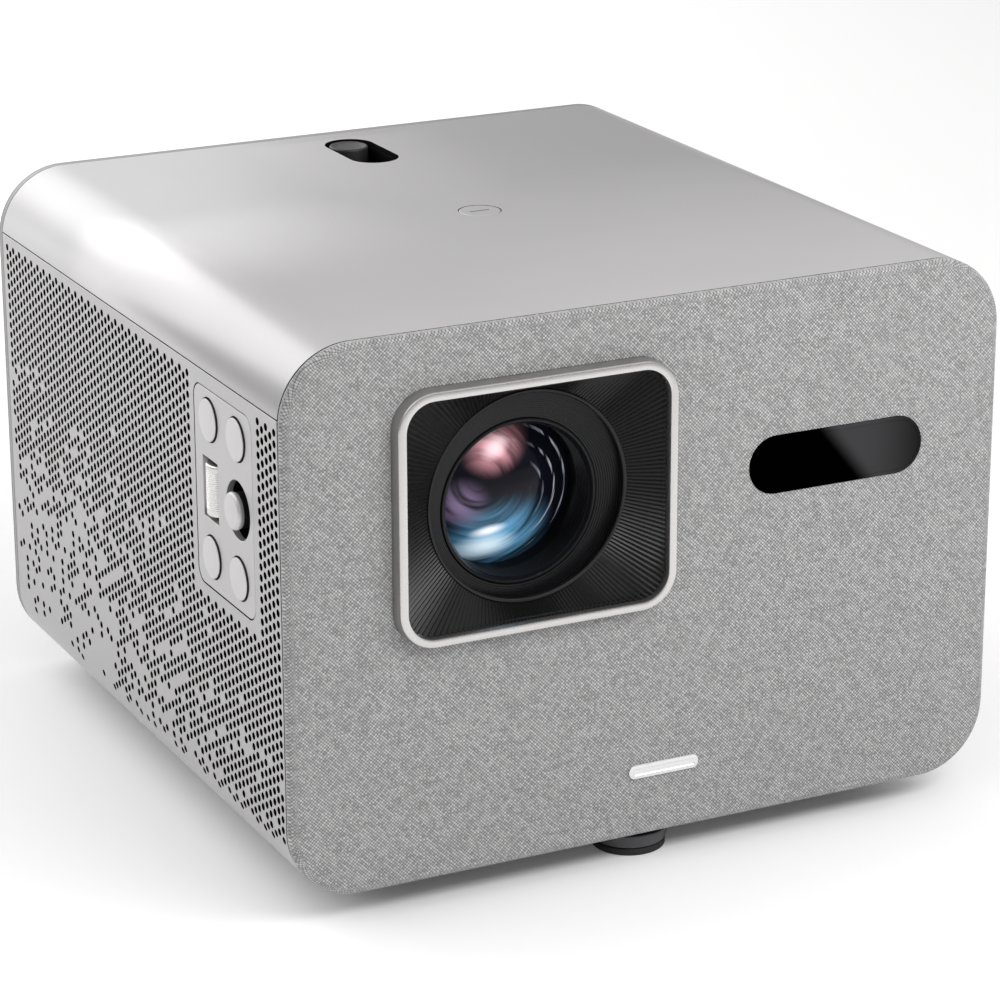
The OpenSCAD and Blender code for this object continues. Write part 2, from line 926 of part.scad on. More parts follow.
module slider_knob() {
    color("#3b3b3e") translate([0, slider_y, 0]) {
        translate([0, 0, tray_floor + slip])
            cylinder(h = top_z - 0.5 - tray_floor - slip, r = slider_r);
        translate([0, 0, tray_floor - 5]) cylinder(h = 6, r = 1.8);
        translate([0, 0, tray_floor - 5]) cylinder(h = 3.2, r = 4);
    }
}

// Underside

module front_foot_pad() {
    color("#0d0d0e") translate([0, foot_y, 0]) {
        cylinder(h = pad_t, r = foot_r);
        cylinder(h = pad_t + 3.5, r = peg_r);
    }
}

module front_foot_screw() {
    disc_z = pad_t + 0.35;
    disc_top = foot_gap - 2;
    color("#3f4045") translate([0, foot_y, 0]) difference() {
        union() {
            rotate_extrude() polygon([
                [0, disc_z], [foot_r + 0.1, disc_z], [foot_r + 0.8, disc_top - 0.6],
                [foot_r + 0.2, disc_top], [0, disc_top]
            ]);
            translate([0, 0, disc_top - 1]) cylinder(h = 28, r = screw_r);
        }
        translate([0, 0, disc_z - 1]) cylinder(h = 5, r = peg_r + 0.06);
    }
}

// The flange is cut flat where it meets the front frame's spigot
module foot_bushing() {
    spigot_y = front_y + frame_t + spigot_d + 0.2;
    color("#c9a24c") difference() {
        translate([0, foot_y, foot_gap + wall]) {
            cylinder(h = 18, r = bushing_r);
            cylinder(h = 2, r = bushing_r + 3.5);
        }
        translate([0, foot_y, foot_gap]) cylinder(h = 30, r = screw_r + 0.06);
        block([-20, 20], [spigot_y - 20, spigot_y], [foot_gap, foot_gap + 30]);
    }
}

module rear_feet() {
    color("#0d0d0e") for (s = [-1, 1])
        translate([s * rear_foot_x, rear_foot_y, 0]) cylinder(h = foot_gap, r = rear_foot_r);
}

module tripod_insert() {
    color("#c9a24c") translate([0, mount_mid_y, foot_gap]) difference() {
        cylinder(h = 12, r = 6.5);
        translate([0, 0, -1]) cylinder(h = 11, r = tripod_r);
    }
}

module mount_inserts() {
    color("#c9a24c") at_mounts() difference() {
        cylinder(h = 8, r = 3);
        translate([0, 0, -1]) cylinder(h = 10, r = thread_r);
    }
}

module base_screws() {
    color("#9b9da1") for (side = [0, 1]) mirror([side, 0, 0]) for (y = base_screw_ys)
        translate([base_screw_x, y, foot_gap + 0.1]) {
            cylinder(h = 1.1, r = 3);
            cylinder(h = 10, r = 1.5);
        }
}

top_cover();
left_grille();
right_grille();
base_pan();
rear_panel();
front_frame();
front_fabric();
lens_bezel();
lens_shroud();
sensor_window();
badge();
lens_barrel();
front_lens();
focus_ring();
focus_pinion();
focus_motor();
focus_cell();
focus_lens();
light_engine();
chip_board();
light_modules();
heat_sink();
heat_pipes();
intake_fan_frame();
intake_fan_rotor();
exhaust_fan_frame();
exhaust_fan_rotor();
mainboard();
hdmi_sockets();
usb_socket();
audio_jack();
power_inlet();
power_supply();
camera_module();
wireless_module();
speaker_boxes();
speaker_drivers();
control_plate();
button_upper_rear();
button_upper_front();
button_lower_rear();
button_lower_front();
keypad_board();
nav_housing();
nav_gimbal();
nav_stem();
nav_knob();
thumb_wheel();
wheel_bracket();
power_button();
power_light();
slider_tray();
slider_knob();
front_foot_pad();
front_foot_screw();
foot_bushing();
rear_feet();
tripod_insert();
mount_inserts();
base_screws();
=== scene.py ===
"""Looks of a home projector with a fabric front, perforated side plates and a screw foot."""

import json
import math
import random

import bmesh
import bpy
from bpy.props import FloatProperty, FloatVectorProperty, IntProperty, PointerProperty
from mathutils import Matrix, Vector


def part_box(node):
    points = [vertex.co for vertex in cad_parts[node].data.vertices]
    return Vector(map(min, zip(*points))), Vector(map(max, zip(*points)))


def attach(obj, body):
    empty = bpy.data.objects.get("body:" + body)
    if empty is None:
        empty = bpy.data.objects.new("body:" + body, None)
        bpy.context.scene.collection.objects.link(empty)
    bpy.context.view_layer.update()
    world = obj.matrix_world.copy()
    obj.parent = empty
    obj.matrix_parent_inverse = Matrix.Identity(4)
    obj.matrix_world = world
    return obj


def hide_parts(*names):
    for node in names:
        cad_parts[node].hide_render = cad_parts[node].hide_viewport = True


bl_info = {
    "name": "Home projector",
    "version": (1, 0, 0),
    "blender": (4, 5, 0),
    "location": "View3D > Sidebar > Projector",
    "description": "Builds a fabric-fronted home projector around its packed frame",
    "category": "Object",
}

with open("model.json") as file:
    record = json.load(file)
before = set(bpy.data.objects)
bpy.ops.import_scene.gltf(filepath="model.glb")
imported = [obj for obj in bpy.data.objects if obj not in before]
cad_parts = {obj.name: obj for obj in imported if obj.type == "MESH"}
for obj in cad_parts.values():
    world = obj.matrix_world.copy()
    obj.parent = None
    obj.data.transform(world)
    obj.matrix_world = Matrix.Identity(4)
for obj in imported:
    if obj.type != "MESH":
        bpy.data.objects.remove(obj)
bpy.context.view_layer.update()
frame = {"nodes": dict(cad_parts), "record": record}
NODES = frame["nodes"]
MM = 0.001


class Span:
    """Where one node of the frame lies: its lowest and highest corner, middle and size"""

    def __init__(self, node):
        self.lo, self.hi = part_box(node)
        self.mid = (self.lo + self.hi) / 2
        self.size = self.hi - self.lo


COVER = Span("top_cover")
PLATE = Span("left_grille")
FABRIC = Span("front_fabric")
BEZEL = Span("lens_bezel")
SHROUD = Span("lens_shroud")
BARREL = Span("lens_barrel")
LENS = Span("front_lens")
WINDOW = Span("sensor_window")
BADGE = Span("badge")
PANEL = Span("control_plate")
KNOB = Span("nav_knob")
WHEEL = Span("thumb_wheel")
POWER = Span("power_button")
TRAY = Span("slider_tray")
SLIDER = Span("slider_knob")
PAD = Span("front_foot_pad")
SCREW = Span("front_foot_screw")
SIDE_X = -PLATE.lo.x
TOP_Z = COVER.hi.z
FRONT_Y = FABRIC.lo.y
MID_Z = (FABRIC.lo.z + FABRIC.hi.z) / 2
BODY_H = FABRIC.size.z

# What a part hides behind the opening that it looks out of
BEZEL_FLANGE = 2.4 * MM
WINDOW_FLANGE = 2 * MM
PANEL_FLANGE = 3 * MM
BUTTON_COLLAR = 1.4 * MM
TRAY_FLANGE = 1.6 * MM

# Turns a shape drawn flat, facing up, to face out of the front or out of the left side
FACE_FRONT = Matrix.Rotation(math.radians(90), 4, "X")
FACE_LEFT = Matrix(((0, 0, -1, 0), (-1, 0, 0, 0), (0, 1, 0, 0), (0, 0, 0, 1)))


# Sizes and colours that a user would change


def length(name, description, default, low=0.0, high=1.0):
    return FloatProperty(name=name, description=description, default=default, min=low, max=high,
                         unit="LENGTH", precision=5)


def angle(name, description, degrees):
    return FloatProperty(name=name, description=description, default=math.radians(degrees),
                         unit="ROTATION")


def share(name, description, default):
    return FloatProperty(name=name, description=description, default=default, min=0, max=1,
                         subtype="FACTOR")


def colour(name, description, default):
    return FloatVectorProperty(name=name, description=description, default=default, size=3,
                               min=0, max=1, subtype="COLOR")


class StageSettings(bpy.types.PropertyGroup):
    camera_at: FloatVectorProperty(
        name="Camera place", description="Where the camera stands", subtype="TRANSLATION",
        unit="LENGTH", default=(-0.5410, -1.1068, 0.5097))
    yaw: angle("Camera yaw", "How far the camera is turned towards the right-hand side", 26.35)
    pitch: angle("Camera pitch", "How far the camera looks down", 18.911)
    roll: angle("Camera roll", "How far the camera leans", 0.179)
    focal: FloatProperty(name="Focal length", description="Of the lens, on a 36 mm sensor",
                         default=131.86, min=10, max=500, unit="CAMERA")
    floor: colour("Floor", "Colour of the floor", (0.96, 0.96, 0.963))


class ShellSettings(bpy.types.PropertyGroup):
    wall: length("Wall", "Thickness of the shell plates", 2.2 * MM)
    edge_radius: length("Edge radius", "Radius of the four long edges", 24.5 * MM)
    edge_break: length("Edge break", "Small chamfer on the edges of the plates", 0.12 * MM)
    seam: length("Seam", "Gap between the cover and a side plate", 0.5 * MM)
    hole_radius: length("Hole radius", "Radius of one hole in a side plate", 1.3 * MM)
    column_pitch: length("Column pitch", "Distance between two columns of holes", 3.24 * MM)
    row_pitch: length("Row pitch", "Half the distance between two holes of a column", 1.84 * MM)
    columns: IntProperty(name="Columns", description="Columns of holes", default=77, min=4)
    half_rows: IntProperty(name="Half rows", description="Half rows of holes, an odd number",
                           default=77, min=5)
    first_column: length("First column", "From the shell's front edge to the first holes",
                         2.2 * MM)
    first_row: length("First row", "From the plate's top edge to the first holes", 4.2 * MM)
    panel_margin: length("Panel margin", "Plain metal around the control panel", 3.25 * MM)
    thinning: share("Thinning", "Most of the holes left out, low down at the back", 0.85)
    silver: colour("Silver", "Satin paint of the top cover", (0.56, 0.55, 0.555))
    # Painted shade: a darker copy of the cover's silver, for the upright plates
    plate_silver_painted_shade: colour("Plate silver", "Satin paint of the plates", (0.459, 0.451, 0.455))
    seed: IntProperty(name="Seed", description="Which holes are left out", default=7)


class FrontSettings(bpy.types.PropertyGroup):
    fabric_edge: length("Fabric edge", "Radius of the fabric's outer edge", 2.4 * MM)
    fabric_thickness: length("Fabric thickness", "Of the cloth itself", 0.7 * MM)
    thread_pitch: length("Thread pitch", "Distance between two threads", 0.86 * MM)
    thread_dark: colour("Dark yarn", "Darkest yarn of the cloth", (0.07, 0.07, 0.07))
    thread_light: colour("Light yarn", "Lightest yarn of the cloth", (0.70, 0.70, 0.70))
    bezel_radius: length("Bezel radius", "Radius of the bezel's corners", 13 * MM)
    bezel_lip: length("Bezel lip", "Width of the bezel's front lip", 3.4 * MM)
    bezel_silver: colour("Bezel silver", "Satin metal of the bezel", (0.66, 0.65, 0.64))
    ribs: IntProperty(name="Ribs", description="Radial ribs of the shroud", default=200, min=20)
    rib_depth: length("Rib depth", "Height of a rib of the shroud", 0.9 * MM)


class ControlSettings(bpy.types.PropertyGroup):
    panel_radius: length("Panel radius", "Radius of the control panel's corners", 5 * MM)
    wheel_ribs: IntProperty(name="Roller ribs", description="Fine ribs round the thumb roller",
                            default=20, min=3)
    silver: colour("Button silver", "Satin paint of the buttons", (0.60, 0.59, 0.59))
    # Painted shade: a darker copy of the cover's silver, for the upright panel
    panel_silver_painted_shade: colour("Panel silver", "Satin paint of the panel", (0.504, 0.495, 0.4995))


# Shader maths


class Value:
    """A socket of a material, written into formulas like a number"""

    def __init__(self, shader, socket):
        self.shader = shader
        self.socket = socket

    def math(self, operation, *others):
        inputs = dict(enumerate((self, *others)))
        return self.shader.add("Math", {"operation": operation}, inputs)

    def reverse(self, operation, other):
        return self.shader.add("Math", {"operation": operation}, {0: other, 1: self})

    def __add__(self, other):
        return self.math("ADD", other)

    def __radd__(self, other):
        return self.reverse("ADD", other)

    def __sub__(self, other):
        return self.math("SUBTRACT", other)

    def __rsub__(self, other):
        return self.reverse("SUBTRACT", other)

    def __mul__(self, other):
        return self.math("MULTIPLY", other)

    def __rmul__(self, other):
        return self.reverse("MULTIPLY", other)

    def __truediv__(self, other):
        return self.math("DIVIDE", other)

    def __pow__(self, other):
        return self.math("POWER", other)

    def clamp(self):
        return self.shader.add("Clamp", {}, {0: self})

    def smooth(self, low, high):
        """Runs smoothly from 0 at low to 1 at high, or the other way where low is the larger"""
        ends = (low, high, 0.0, 1.0) if low < high else (high, low, 1.0, 0.0)
        inputs = {0: self, 1: ends[0], 2: ends[1], 3: ends[2], 4: ends[3]}
        return self.shader.add("MapRange", {"interpolation_type": "SMOOTHSTEP"}, inputs)


class Shader:
    """One node material: nodes are added with add, and surface gives it its finish"""

    def __init__(self, name):
        self.material = bpy.data.materials.new(name)
        self.material.use_nodes = True
        self.tree = self.material.node_tree
        self.tree.nodes.clear()

    def add(self, kind, settings, inputs, output=0):
        node = self.tree.nodes.new("ShaderNode" + kind)
        for name, value in settings.items():
            setattr(node, name, value)
        for name, value in inputs.items():
            if isinstance(value, Value):
                self.tree.links.new(value.socket, node.inputs[name])
            else:
                node.inputs[name].default_value = value
        if node.outputs:
            return Value(self, node.outputs[output])
        return None

    def place(self):
        return self.add("TexCoord", {}, {}, "Object")

    def uv(self):
        return self.add("UVMap", {}, {})

    def axes(self, vector):
        return [self.add("SeparateXYZ", {}, {0: vector}, axis) for axis in range(3)]

    def vector(self, x, y, z):
        return self.add("CombineXYZ", {}, {0: x, 1: y, 2: z})

    def stretch(self, vector, scale):
        return self.add("VectorMath", {"operation": "MULTIPLY"}, {0: vector, 1: scale})

    def noise(self, vector, size, detail=2.0, roughness=0.5):
        """Noise whose spots are about the given size in metres"""
        inputs = {"Vector": vector, "Scale": 1 / size, "Detail": detail, "Roughness": roughness}
        return self.add("TexNoise", {}, inputs)

    def mix(self, low, high, factor):
        """Mixes two colours"""
        inputs = {0: factor, 6: low, 7: high}
        return self.add("Mix", {"data_type": "RGBA"}, inputs, 2)

    def bump(self, height, distance, strength=1.0):
        inputs = {"Height": height, "Distance": distance, "Strength": strength}
        return self.add("Bump", {}, inputs)

    def surface(self, inputs):
        shine = self.add("BsdfPrincipled", {}, inputs)
        self.add("OutputMaterial", {}, {"Surface": shine})
        return self.material


def rgba(rgb, share_of=1.0):
    return (rgb[0] * share_of, rgb[1] * share_of, rgb[2] * share_of, 1.0)


# Finishes


def satin_paint(name, rgb, roughness=0.36, metallic=0.55):
    """Silver paint with a fine grain, a little uneven in tone"""
    shader = Shader(name)
    place = shader.place()
    grain = shader.noise(place, 0.35 * MM, 3.0, 0.6)
    cloud = shader.noise(place, 60 * MM, 2.0)
    flake = shader.noise(place, 0.12 * MM, 1.0)
    tone = (cloud * 0.35 + flake * 0.65).smooth(0.25, 0.75)
    return shader.surface({
        "Base Color": shader.mix(rgba(rgb, 0.95), rgba(rgb, 1.04), tone),
        "Roughness": roughness - 0.03 + 0.06 * grain,
        "Metallic": metallic,
        "Normal": shader.bump(grain, 0.012 * MM),
    })


def satin_metal(name, rgb, roughness=0.28, along=(1, 1, 1)):
    """Blasted or brushed metal: its grain is drawn out along an axis where along is small"""
    shader = Shader(name)
    place = shader.stretch(shader.place(), along)
    grain = shader.noise(place, 0.3 * MM, 3.0, 0.7)
    cloud = shader.noise(place, 9 * MM, 2.0)
    return shader.surface({
        "Base Color": shader.mix(rgba(rgb, 0.90), rgba(rgb, 1.06), cloud),
        "Roughness": roughness - 0.05 + 0.10 * grain,
        "Metallic": 0.92,
        "Normal": shader.bump(grain, 0.010 * MM),
    })


def moulded_plastic(name, rgb, roughness=0.42, spark=0.25 * MM, specular=0.5):
    """Moulded plastic with a spark-eroded grain and slightly shiny high spots"""
    shader = Shader(name)
    place = shader.place()
    grain = shader.add("TexVoronoi", {"feature": "SMOOTH_F1"},
                       {"Vector": place, "Scale": 1 / spark, "Smoothness": 0.6})
    cloud = shader.noise(place, 14 * MM, 3.0)
    return shader.surface({
        "Base Color": shader.mix(rgba(rgb, 0.85), rgba(rgb, 1.2), cloud),
        "Roughness": roughness + 0.12 * grain - 0.03 * cloud,
        "Specular IOR Level": specular,
        "Normal": shader.bump(grain, 0.02 * MM, 0.6),
    })


def gloss_plastic(name, rgb, roughness=0.06):
    """Polished plastic with a faint orange peel"""
    shader = Shader(name)
    place = shader.place()
    peel = shader.noise(place, 3 * MM, 1.0)
    dust = shader.noise(place, 0.6 * MM, 2.0).smooth(0.5, 0.8)
    return shader.surface({
        "Base Color": shader.mix(rgba(rgb), rgba(rgb, 1.5), dust),
        "Roughness": roughness + 0.04 * dust,
        "Normal": shader.bump(peel, 0.01 * MM, 0.3),
    })


def black_lining_and_painted_shade(name):
    """Matt black coat on the inside and the cut edges of the shell: a dark inside, and painted shade
    on the walls of the holes and openings
    """
    return moulded_plastic(name, (0.004, 0.004, 0.004), 0.7, specular=0.05)


def rubber(name, rgb):
    """Matt rubber with a fine tooth and grey scuffs"""
    shader = Shader(name)
    place = shader.place()
    tooth = shader.noise(place, 0.3 * MM, 4.0, 0.7)
    scuff = shader.noise(place, 5 * MM, 4.0, 0.7).smooth(0.55, 0.8)
    return shader.surface({
        "Base Color": shader.mix(rgba(rgb), rgba(rgb, 2.2), scuff),
        "Roughness": 0.72 + 0.2 * tooth,
        "Normal": shader.bump(tooth, 0.04 * MM),
    })


def circuit_board(name, rgb):
    """Solder mask with straight copper tracks under it"""
    shader = Shader(name)
    place = shader.place()
    tracks = shader.add("TexBrick", {"offset": 0.37, "squash": 1.6, "squash_frequency": 3}, {
        "Vector": place, "Scale": 90.0, "Mortar Size": 0.03, "Color1": (1, 1, 1, 1),
        "Color2": (0.8, 0.8, 0.8, 1), "Mortar": (0, 0, 0, 1)}, "Fac")
    grain = shader.noise(place, 0.5 * MM, 2.0)
    return shader.surface({
        "Base Color": shader.mix(rgba(rgb), rgba(rgb, 2.6), tracks),
        "Roughness": 0.28 + 0.15 * grain,
        "Normal": shader.bump(tracks, 0.03 * MM),
    })


def paper_cone(name, rgb):
    """Pressed paper pulp"""
    shader = Shader(name)
    place = shader.place()
    pulp = shader.noise(place, 0.8 * MM, 5.0, 0.75)
    return shader.surface({
        "Base Color": shader.mix(rgba(rgb, 0.7), rgba(rgb, 1.5), pulp),
        "Roughness": 0.8 + 0.15 * pulp,
        "Normal": shader.bump(pulp, 0.1 * MM),
    })


def heather_cloth(name, front):
    """Plain weave on the bias, of yarns spun from light and dark fibres, with painted shade between
    the threads
    """
    shader = Shader(name)
    across, along, _ = shader.axes(shader.uv())
    sway = shader.noise(shader.uv(), 9 * MM, 2.0) - 0.5
    turn = math.sqrt(0.5) / front.thread_pitch
    warp = (across + along) * turn + sway * 0.3
    weft = (across - along) * turn + sway * 0.3
    warp_count = warp.math("FLOOR")
    weft_count = weft.math("FLOOR")
    warp_over = ((warp_count + weft_count) * 0.5).math("FRACT") * 2
    run = 2.6

    def yarn(count, other, offset):
        """Tone of one yarn, which changes every few crossings along its length"""
        start = shader.add("TexWhiteNoise", {"noise_dimensions": "1D"}, {"W": count + offset})
        stretch = (other / run + start * 7).math("FLOOR")
        spot = shader.vector(count + offset, stretch, offset)
        return shader.add("TexWhiteNoise", {"noise_dimensions": "3D"}, {"Vector": spot})

    warp_tone = yarn(warp_count, weft, 11.0)
    weft_tone = yarn(weft_count, warp, 57.0)
    tone = warp_tone * warp_over + (weft_tone * 0.6 + 0.2) * (1 - warp_over)
    warp_crown = (warp.math("FRACT") * math.pi).math("SINE")
    weft_crown = (weft.math("FRACT") * math.pi).math("SINE")
    crown = warp_crown * warp_over + weft_crown * (1 - warp_over)
    valley_depth_and_shade = (warp_crown * weft_crown).smooth(0.0, 0.5)
    fuzz = shader.noise(shader.uv(), 0.22 * MM, 3.0, 0.7)
    patch = shader.noise(shader.uv(), 2.4 * MM, 3.0, 0.6)
    light = tone * 0.44 + fuzz * 0.34 + (patch - 0.5) * 0.05 + 0.18
    # Painted shade: the yarn is darker in the valleys between the crossings
    shade = (light * (0.25 + 0.75 * valley_depth_and_shade)).clamp()
    return shader.surface({
        "Base Color": shader.mix(rgba(front.thread_dark), rgba(front.thread_light), shade),
        "Roughness": 0.86 + 0.1 * fuzz,
        "Sheen Weight": 0.25,
        "Sheen Roughness": 0.45,
        "Specular IOR Level": 0.25,
        "Normal": shader.bump(crown * 0.7 + valley_depth_and_shade * 0.3 + fuzz * 0.25, 0.16 * MM, 0.9),
    })


def glass_with_painted_reflections(name):
    """The outer lens: dark glass with painted reflections, rose at the top and blue below, which
    also glow
    """
    shader = Shader(name)
    x, _, z = shader.axes(shader.place())
    radius = LENS.size.x / 2
    across = (x - LENS.mid.x) / radius
    up = (z - LENS.mid.z) / radius

    def painted_reflection_spot(at, wide, high, lean=0.0):
        """A soft oval spot, 1 in its middle and 0 from its edge"""
        dx = across - at[0]
        dz = up - at[1]
        along = dx * math.cos(lean) + dz * math.sin(lean)
        over = dz * math.cos(lean) - dx * math.sin(lean)
        reach = ((along / wide) ** 2 + (over / high) ** 2).math("SQRT")
        return reach.smooth(1.0, 0.0)

    far = ((across + 0.40) ** 2 + (up - 0.22) ** 2).math("SQRT")
    swirl = shader.noise(shader.vector(far * 7, across * 0.7, up * 0.7), 1.0, 3.0, 0.6)
    streaks = swirl.smooth(0.36, 0.64)
    fine = shader.noise(shader.vector(far * 22, across, up), 1.0, 2.0, 0.5).smooth(0.42, 0.6)
    # Painted reflections: rose spots at the top, blue, a pale sky patch and a white glint below,
    # violet at the left and pale arcs of the inner rings
    rose_reflection = painted_reflection_spot((-0.12, 0.66), 0.55, 0.42, 0.45) * (0.25 + 0.75 * streaks)
    rose_reflection_core = painted_reflection_spot((-0.14, 0.62), 0.26, 0.17, 0.5)
    blue_reflection = painted_reflection_spot((-0.15, -0.66), 0.98, 0.70, 0.35) * (0.10 + 0.60 * streaks + 0.30 * fine)
    sky = painted_reflection_spot((-0.28, -0.70), 0.52, 0.24, 0.15)
    glint_reflection = painted_reflection_spot((-0.26, -0.46), 0.30, 0.10, 0.2)
    violet_reflection = painted_reflection_spot((-0.62, -0.08), 0.42, 0.40, 0.0) * streaks
    edge = ((across - 0.05) ** 2 + up ** 2).math("SQRT")
    ring_reflections = (edge * 31).math("SINE").smooth(0.75, 1.0) * across.smooth(0.25, 0.8) * fine
    painted_reflection_tint = shader.mix((0.003, 0.003, 0.006, 1), (0.17, 0.12, 0.22, 1), violet_reflection)
    painted_reflection_tint = shader.mix(painted_reflection_tint, (0.13, 0.38, 0.62, 1), blue_reflection)
    painted_reflection_tint = shader.mix(painted_reflection_tint, (0.70, 0.86, 0.97, 1), sky)
    painted_reflection_tint = shader.mix(painted_reflection_tint, (0.90, 0.94, 1.0, 1), glint_reflection)
    painted_reflection_tint = shader.mix(painted_reflection_tint, (0.78, 0.36, 0.42, 1), rose_reflection)
    painted_reflection_tint = shader.mix(painted_reflection_tint, (0.97, 0.70, 0.74, 1), rose_reflection_core)
    painted_reflection_tint = shader.mix(painted_reflection_tint, (0.42, 0.46, 0.52, 1), ring_reflections)
    return shader.surface({
        "Base Color": painted_reflection_tint,
        "Roughness": 0.1 + 0.04 * swirl,
        "Specular IOR Level": 0.16,
        # The painted reflections glow as well, though the lens is no lamp
        "Emission Color": painted_reflection_tint,
        "Emission Strength": 0.45,
    })


# Mesh tools


def flat_rounded(bm, width, height, radius, segments=12):
    """Adds a flat rectangle with round corners at the origin, facing up, and returns its face"""
    verts = bmesh.ops.create_grid(bm, x_segments=1, y_segments=1, size=0.5)["verts"]
    bmesh.ops.scale(bm, vec=(width, height, 1), verts=verts)
    made = bmesh.ops.bevel(bm, geom=verts, offset=radius, offset_type="OFFSET",
                           segments=segments, profile=0.5, affect="VERTICES", material=-1)
    return max(made["faces"] or verts_faces(made["verts"]), key=lambda face: face.calc_area())


def verts_faces(verts):
    """Every face at some vertices"""
    return {face for vert in verts for face in vert.link_faces}


def flat_pill(bm, width, height, segments=48):
    """Adds a flat oblong with half-round ends at the origin, long side along X"""
    turn = Matrix.Rotation(math.pi / segments, 4, "Z")
    verts = bmesh.ops.create_circle(bm, cap_ends=True, radius=height / 2, segments=segments,
                                    matrix=turn)["verts"]
    for vert in verts:
        vert.co.x += math.copysign((width - height) / 2, vert.co.x)
    face = verts[0].link_faces[0]
    if face.normal.z < 0:
        face.normal_flip()
    return face


def steps(bm, face, moves):
    """Draws a face in and pushes it out along its normal, once for each (in, out) pair"""
    for inset, rise in moves:
        face.normal_update()
        if inset:
            bmesh.ops.inset_region(bm, faces=[face], thickness=inset, depth=rise,
                                   use_even_offset=True, use_boundary=True)
        else:
            shift = face.normal * rise
            face = bmesh.ops.extrude_discrete_faces(bm, faces=[face])["faces"][0]
            bmesh.ops.translate(bm, vec=shift, verts=face.verts)
    return face


def close_ring(bm, first, last):
    """Deletes the first and last face of a stack and joins their outlines behind it"""
    edges = list(first.edges) + list(last.edges)
    bmesh.ops.delete(bm, geom=[first, last], context="FACES_ONLY")
    bmesh.ops.bridge_loops(bm, edges=edges)


def place(bm, verts, matrix=None, at=(0, 0, 0)):
    """Turns and moves vertices that were drawn at the origin"""
    if matrix is not None:
        bmesh.ops.transform(bm, matrix=matrix, verts=verts)
    bmesh.ops.translate(bm, vec=at, verts=verts)


def arc(centre, radius, start, end, count):
    """Points of an arc as (across, up) pairs, with both ends; the angles are in degrees"""
    return [
        (centre[0] + radius * math.cos(math.radians(start + (end - start) * i / count)),
         centre[1] + radius * math.sin(math.radians(start + (end - start) * i / count)))
        for i in range(count + 1)
    ]


def turned(bm, profile, segments=64):
    """Spins a profile of (radius, height) points round Z"""
    start = [bm.verts.new((radius, 0, height)) for radius, height in profile]
    edges = [bm.edges.new(pair) for pair in zip(start, start[1:])]
    bmesh.ops.spin(bm, geom=start + edges, axis=(0, 0, 1), cent=(0, 0, 0), angle=2 * math.pi,
                   steps=segments, use_merge=True, dvec=(0, 0, 0))
    bmesh.ops.remove_doubles(bm, verts=bm.verts, dist=1e-6)


def shade(bm, sharp_degrees=40):
    """Smooth faces, with a sharp edge wherever two faces meet at more than an angle"""
    for face in bm.faces:
        face.smooth = True
    for edge in bm.edges:
        edge.smooth = edge.is_manifold and edge.calc_face_angle(0) < math.radians(sharp_degrees)


def piece(name, bm, body, material, replaces=(), outward=True, sharp=40):
    """Makes a finished mesh of the object ride on a body in place of its plain nodes"""
    if outward:
        bmesh.ops.recalc_face_normals(bm, faces=bm.faces)
        face_away(bm)
    shade(bm, sharp)
    mesh = bpy.data.meshes.new(name)
    bm.to_mesh(mesh)
    bm.free()
    made = bpy.data.objects.new(name, mesh)
    bpy.context.scene.collection.objects.link(made)
    mesh.materials.append(material)
    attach(made, body)
    if replaces:
        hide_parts(*replaces)
    return made


def face_away(bm):
    """Turns an open sheet so that its faces look away from the middle of the body"""
    if not any(edge.is_boundary for edge in bm.edges):
        return
    middle = Vector((0, 0, MID_Z))
    outlook = sum(face.calc_area() * face.normal.dot(face.calc_center_bounds() - middle)
                  for face in bm.faces)
    if outlook < 0:
        bmesh.ops.reverse_faces(bm, faces=bm.faces)


def thicken(made, thickness, lining=None, even=True):
    """Gives a sheet of faces its wall, inwards, with another finish on its inside and edges"""
    wall = made.modifiers.new("wall", "SOLIDIFY")
    wall.thickness = thickness
    wall.offset = -1
    wall.use_even_offset = even
    if lining:
        made.data.materials.append(lining)
        wall.material_offset = 1
        wall.material_offset_rim = 1


def round_edges(made, width, segments=2, degrees=35):
    """Rounds the sharp edges of a piece"""
    edge = made.modifiers.new("rounded edges", "BEVEL")
    edge.width = width
    edge.segments = segments
    edge.profile = 0.5
    edge.limit_method = "ANGLE"
    edge.angle_limit = math.radians(degrees)
    edge.harden_normals = True


def from_node(node):
    """A merged copy of a node's mesh, with its flat faces whole"""
    bm = bmesh.new()
    bm.from_mesh(NODES[node].data)
    bmesh.ops.remove_doubles(bm, verts=bm.verts, dist=1e-6)
    bmesh.ops.dissolve_limit(bm, angle_limit=math.radians(0.6), verts=bm.verts, edges=bm.edges,
                             use_dissolve_boundaries=False)
    return bm


def finished_copy(node, body, material, width, segments=2):
    """A node's own shape with rounded edges"""
    made = piece(node + "_finished", from_node(node), body, material, (node,),
                 outward=False)
    round_edges(made, width, segments)
    return made


def fill_between(bm, border, openings):
    """Fills the flat space inside a border, but leaves out each (middle, size, radius) opening"""
    outlines = []
    for middle, size, radius in openings:
        face = flat_rounded(bm, size[0], size[1], radius, 14)
        place(bm, face.verts, at=(middle[0], middle[1], 0))
        outlines += face.edges
        bmesh.ops.delete(bm, geom=[face], context="FACES_ONLY")
    made = bmesh.ops.triangle_fill(bm, use_beauty=True, use_dissolve=False,
                                   edges=border + outlines, normal=(0, 0, 1))["geom"]
    covered = []
    for face in made:
        if isinstance(face, bmesh.types.BMFace):
            spot = face.calc_center_median()
            for middle, size, radius in openings:
                over_x = max(0.0, abs(spot.x - middle[0]) - size[0] / 2 + radius)
                over_y = max(0.0, abs(spot.y - middle[1]) - size[1] / 2 + radius)
                if over_x ** 2 + over_y ** 2 < radius ** 2:
                    covered.append(face)
    bmesh.ops.delete(bm, geom=covered, context="FACES_ONLY")


# Shell


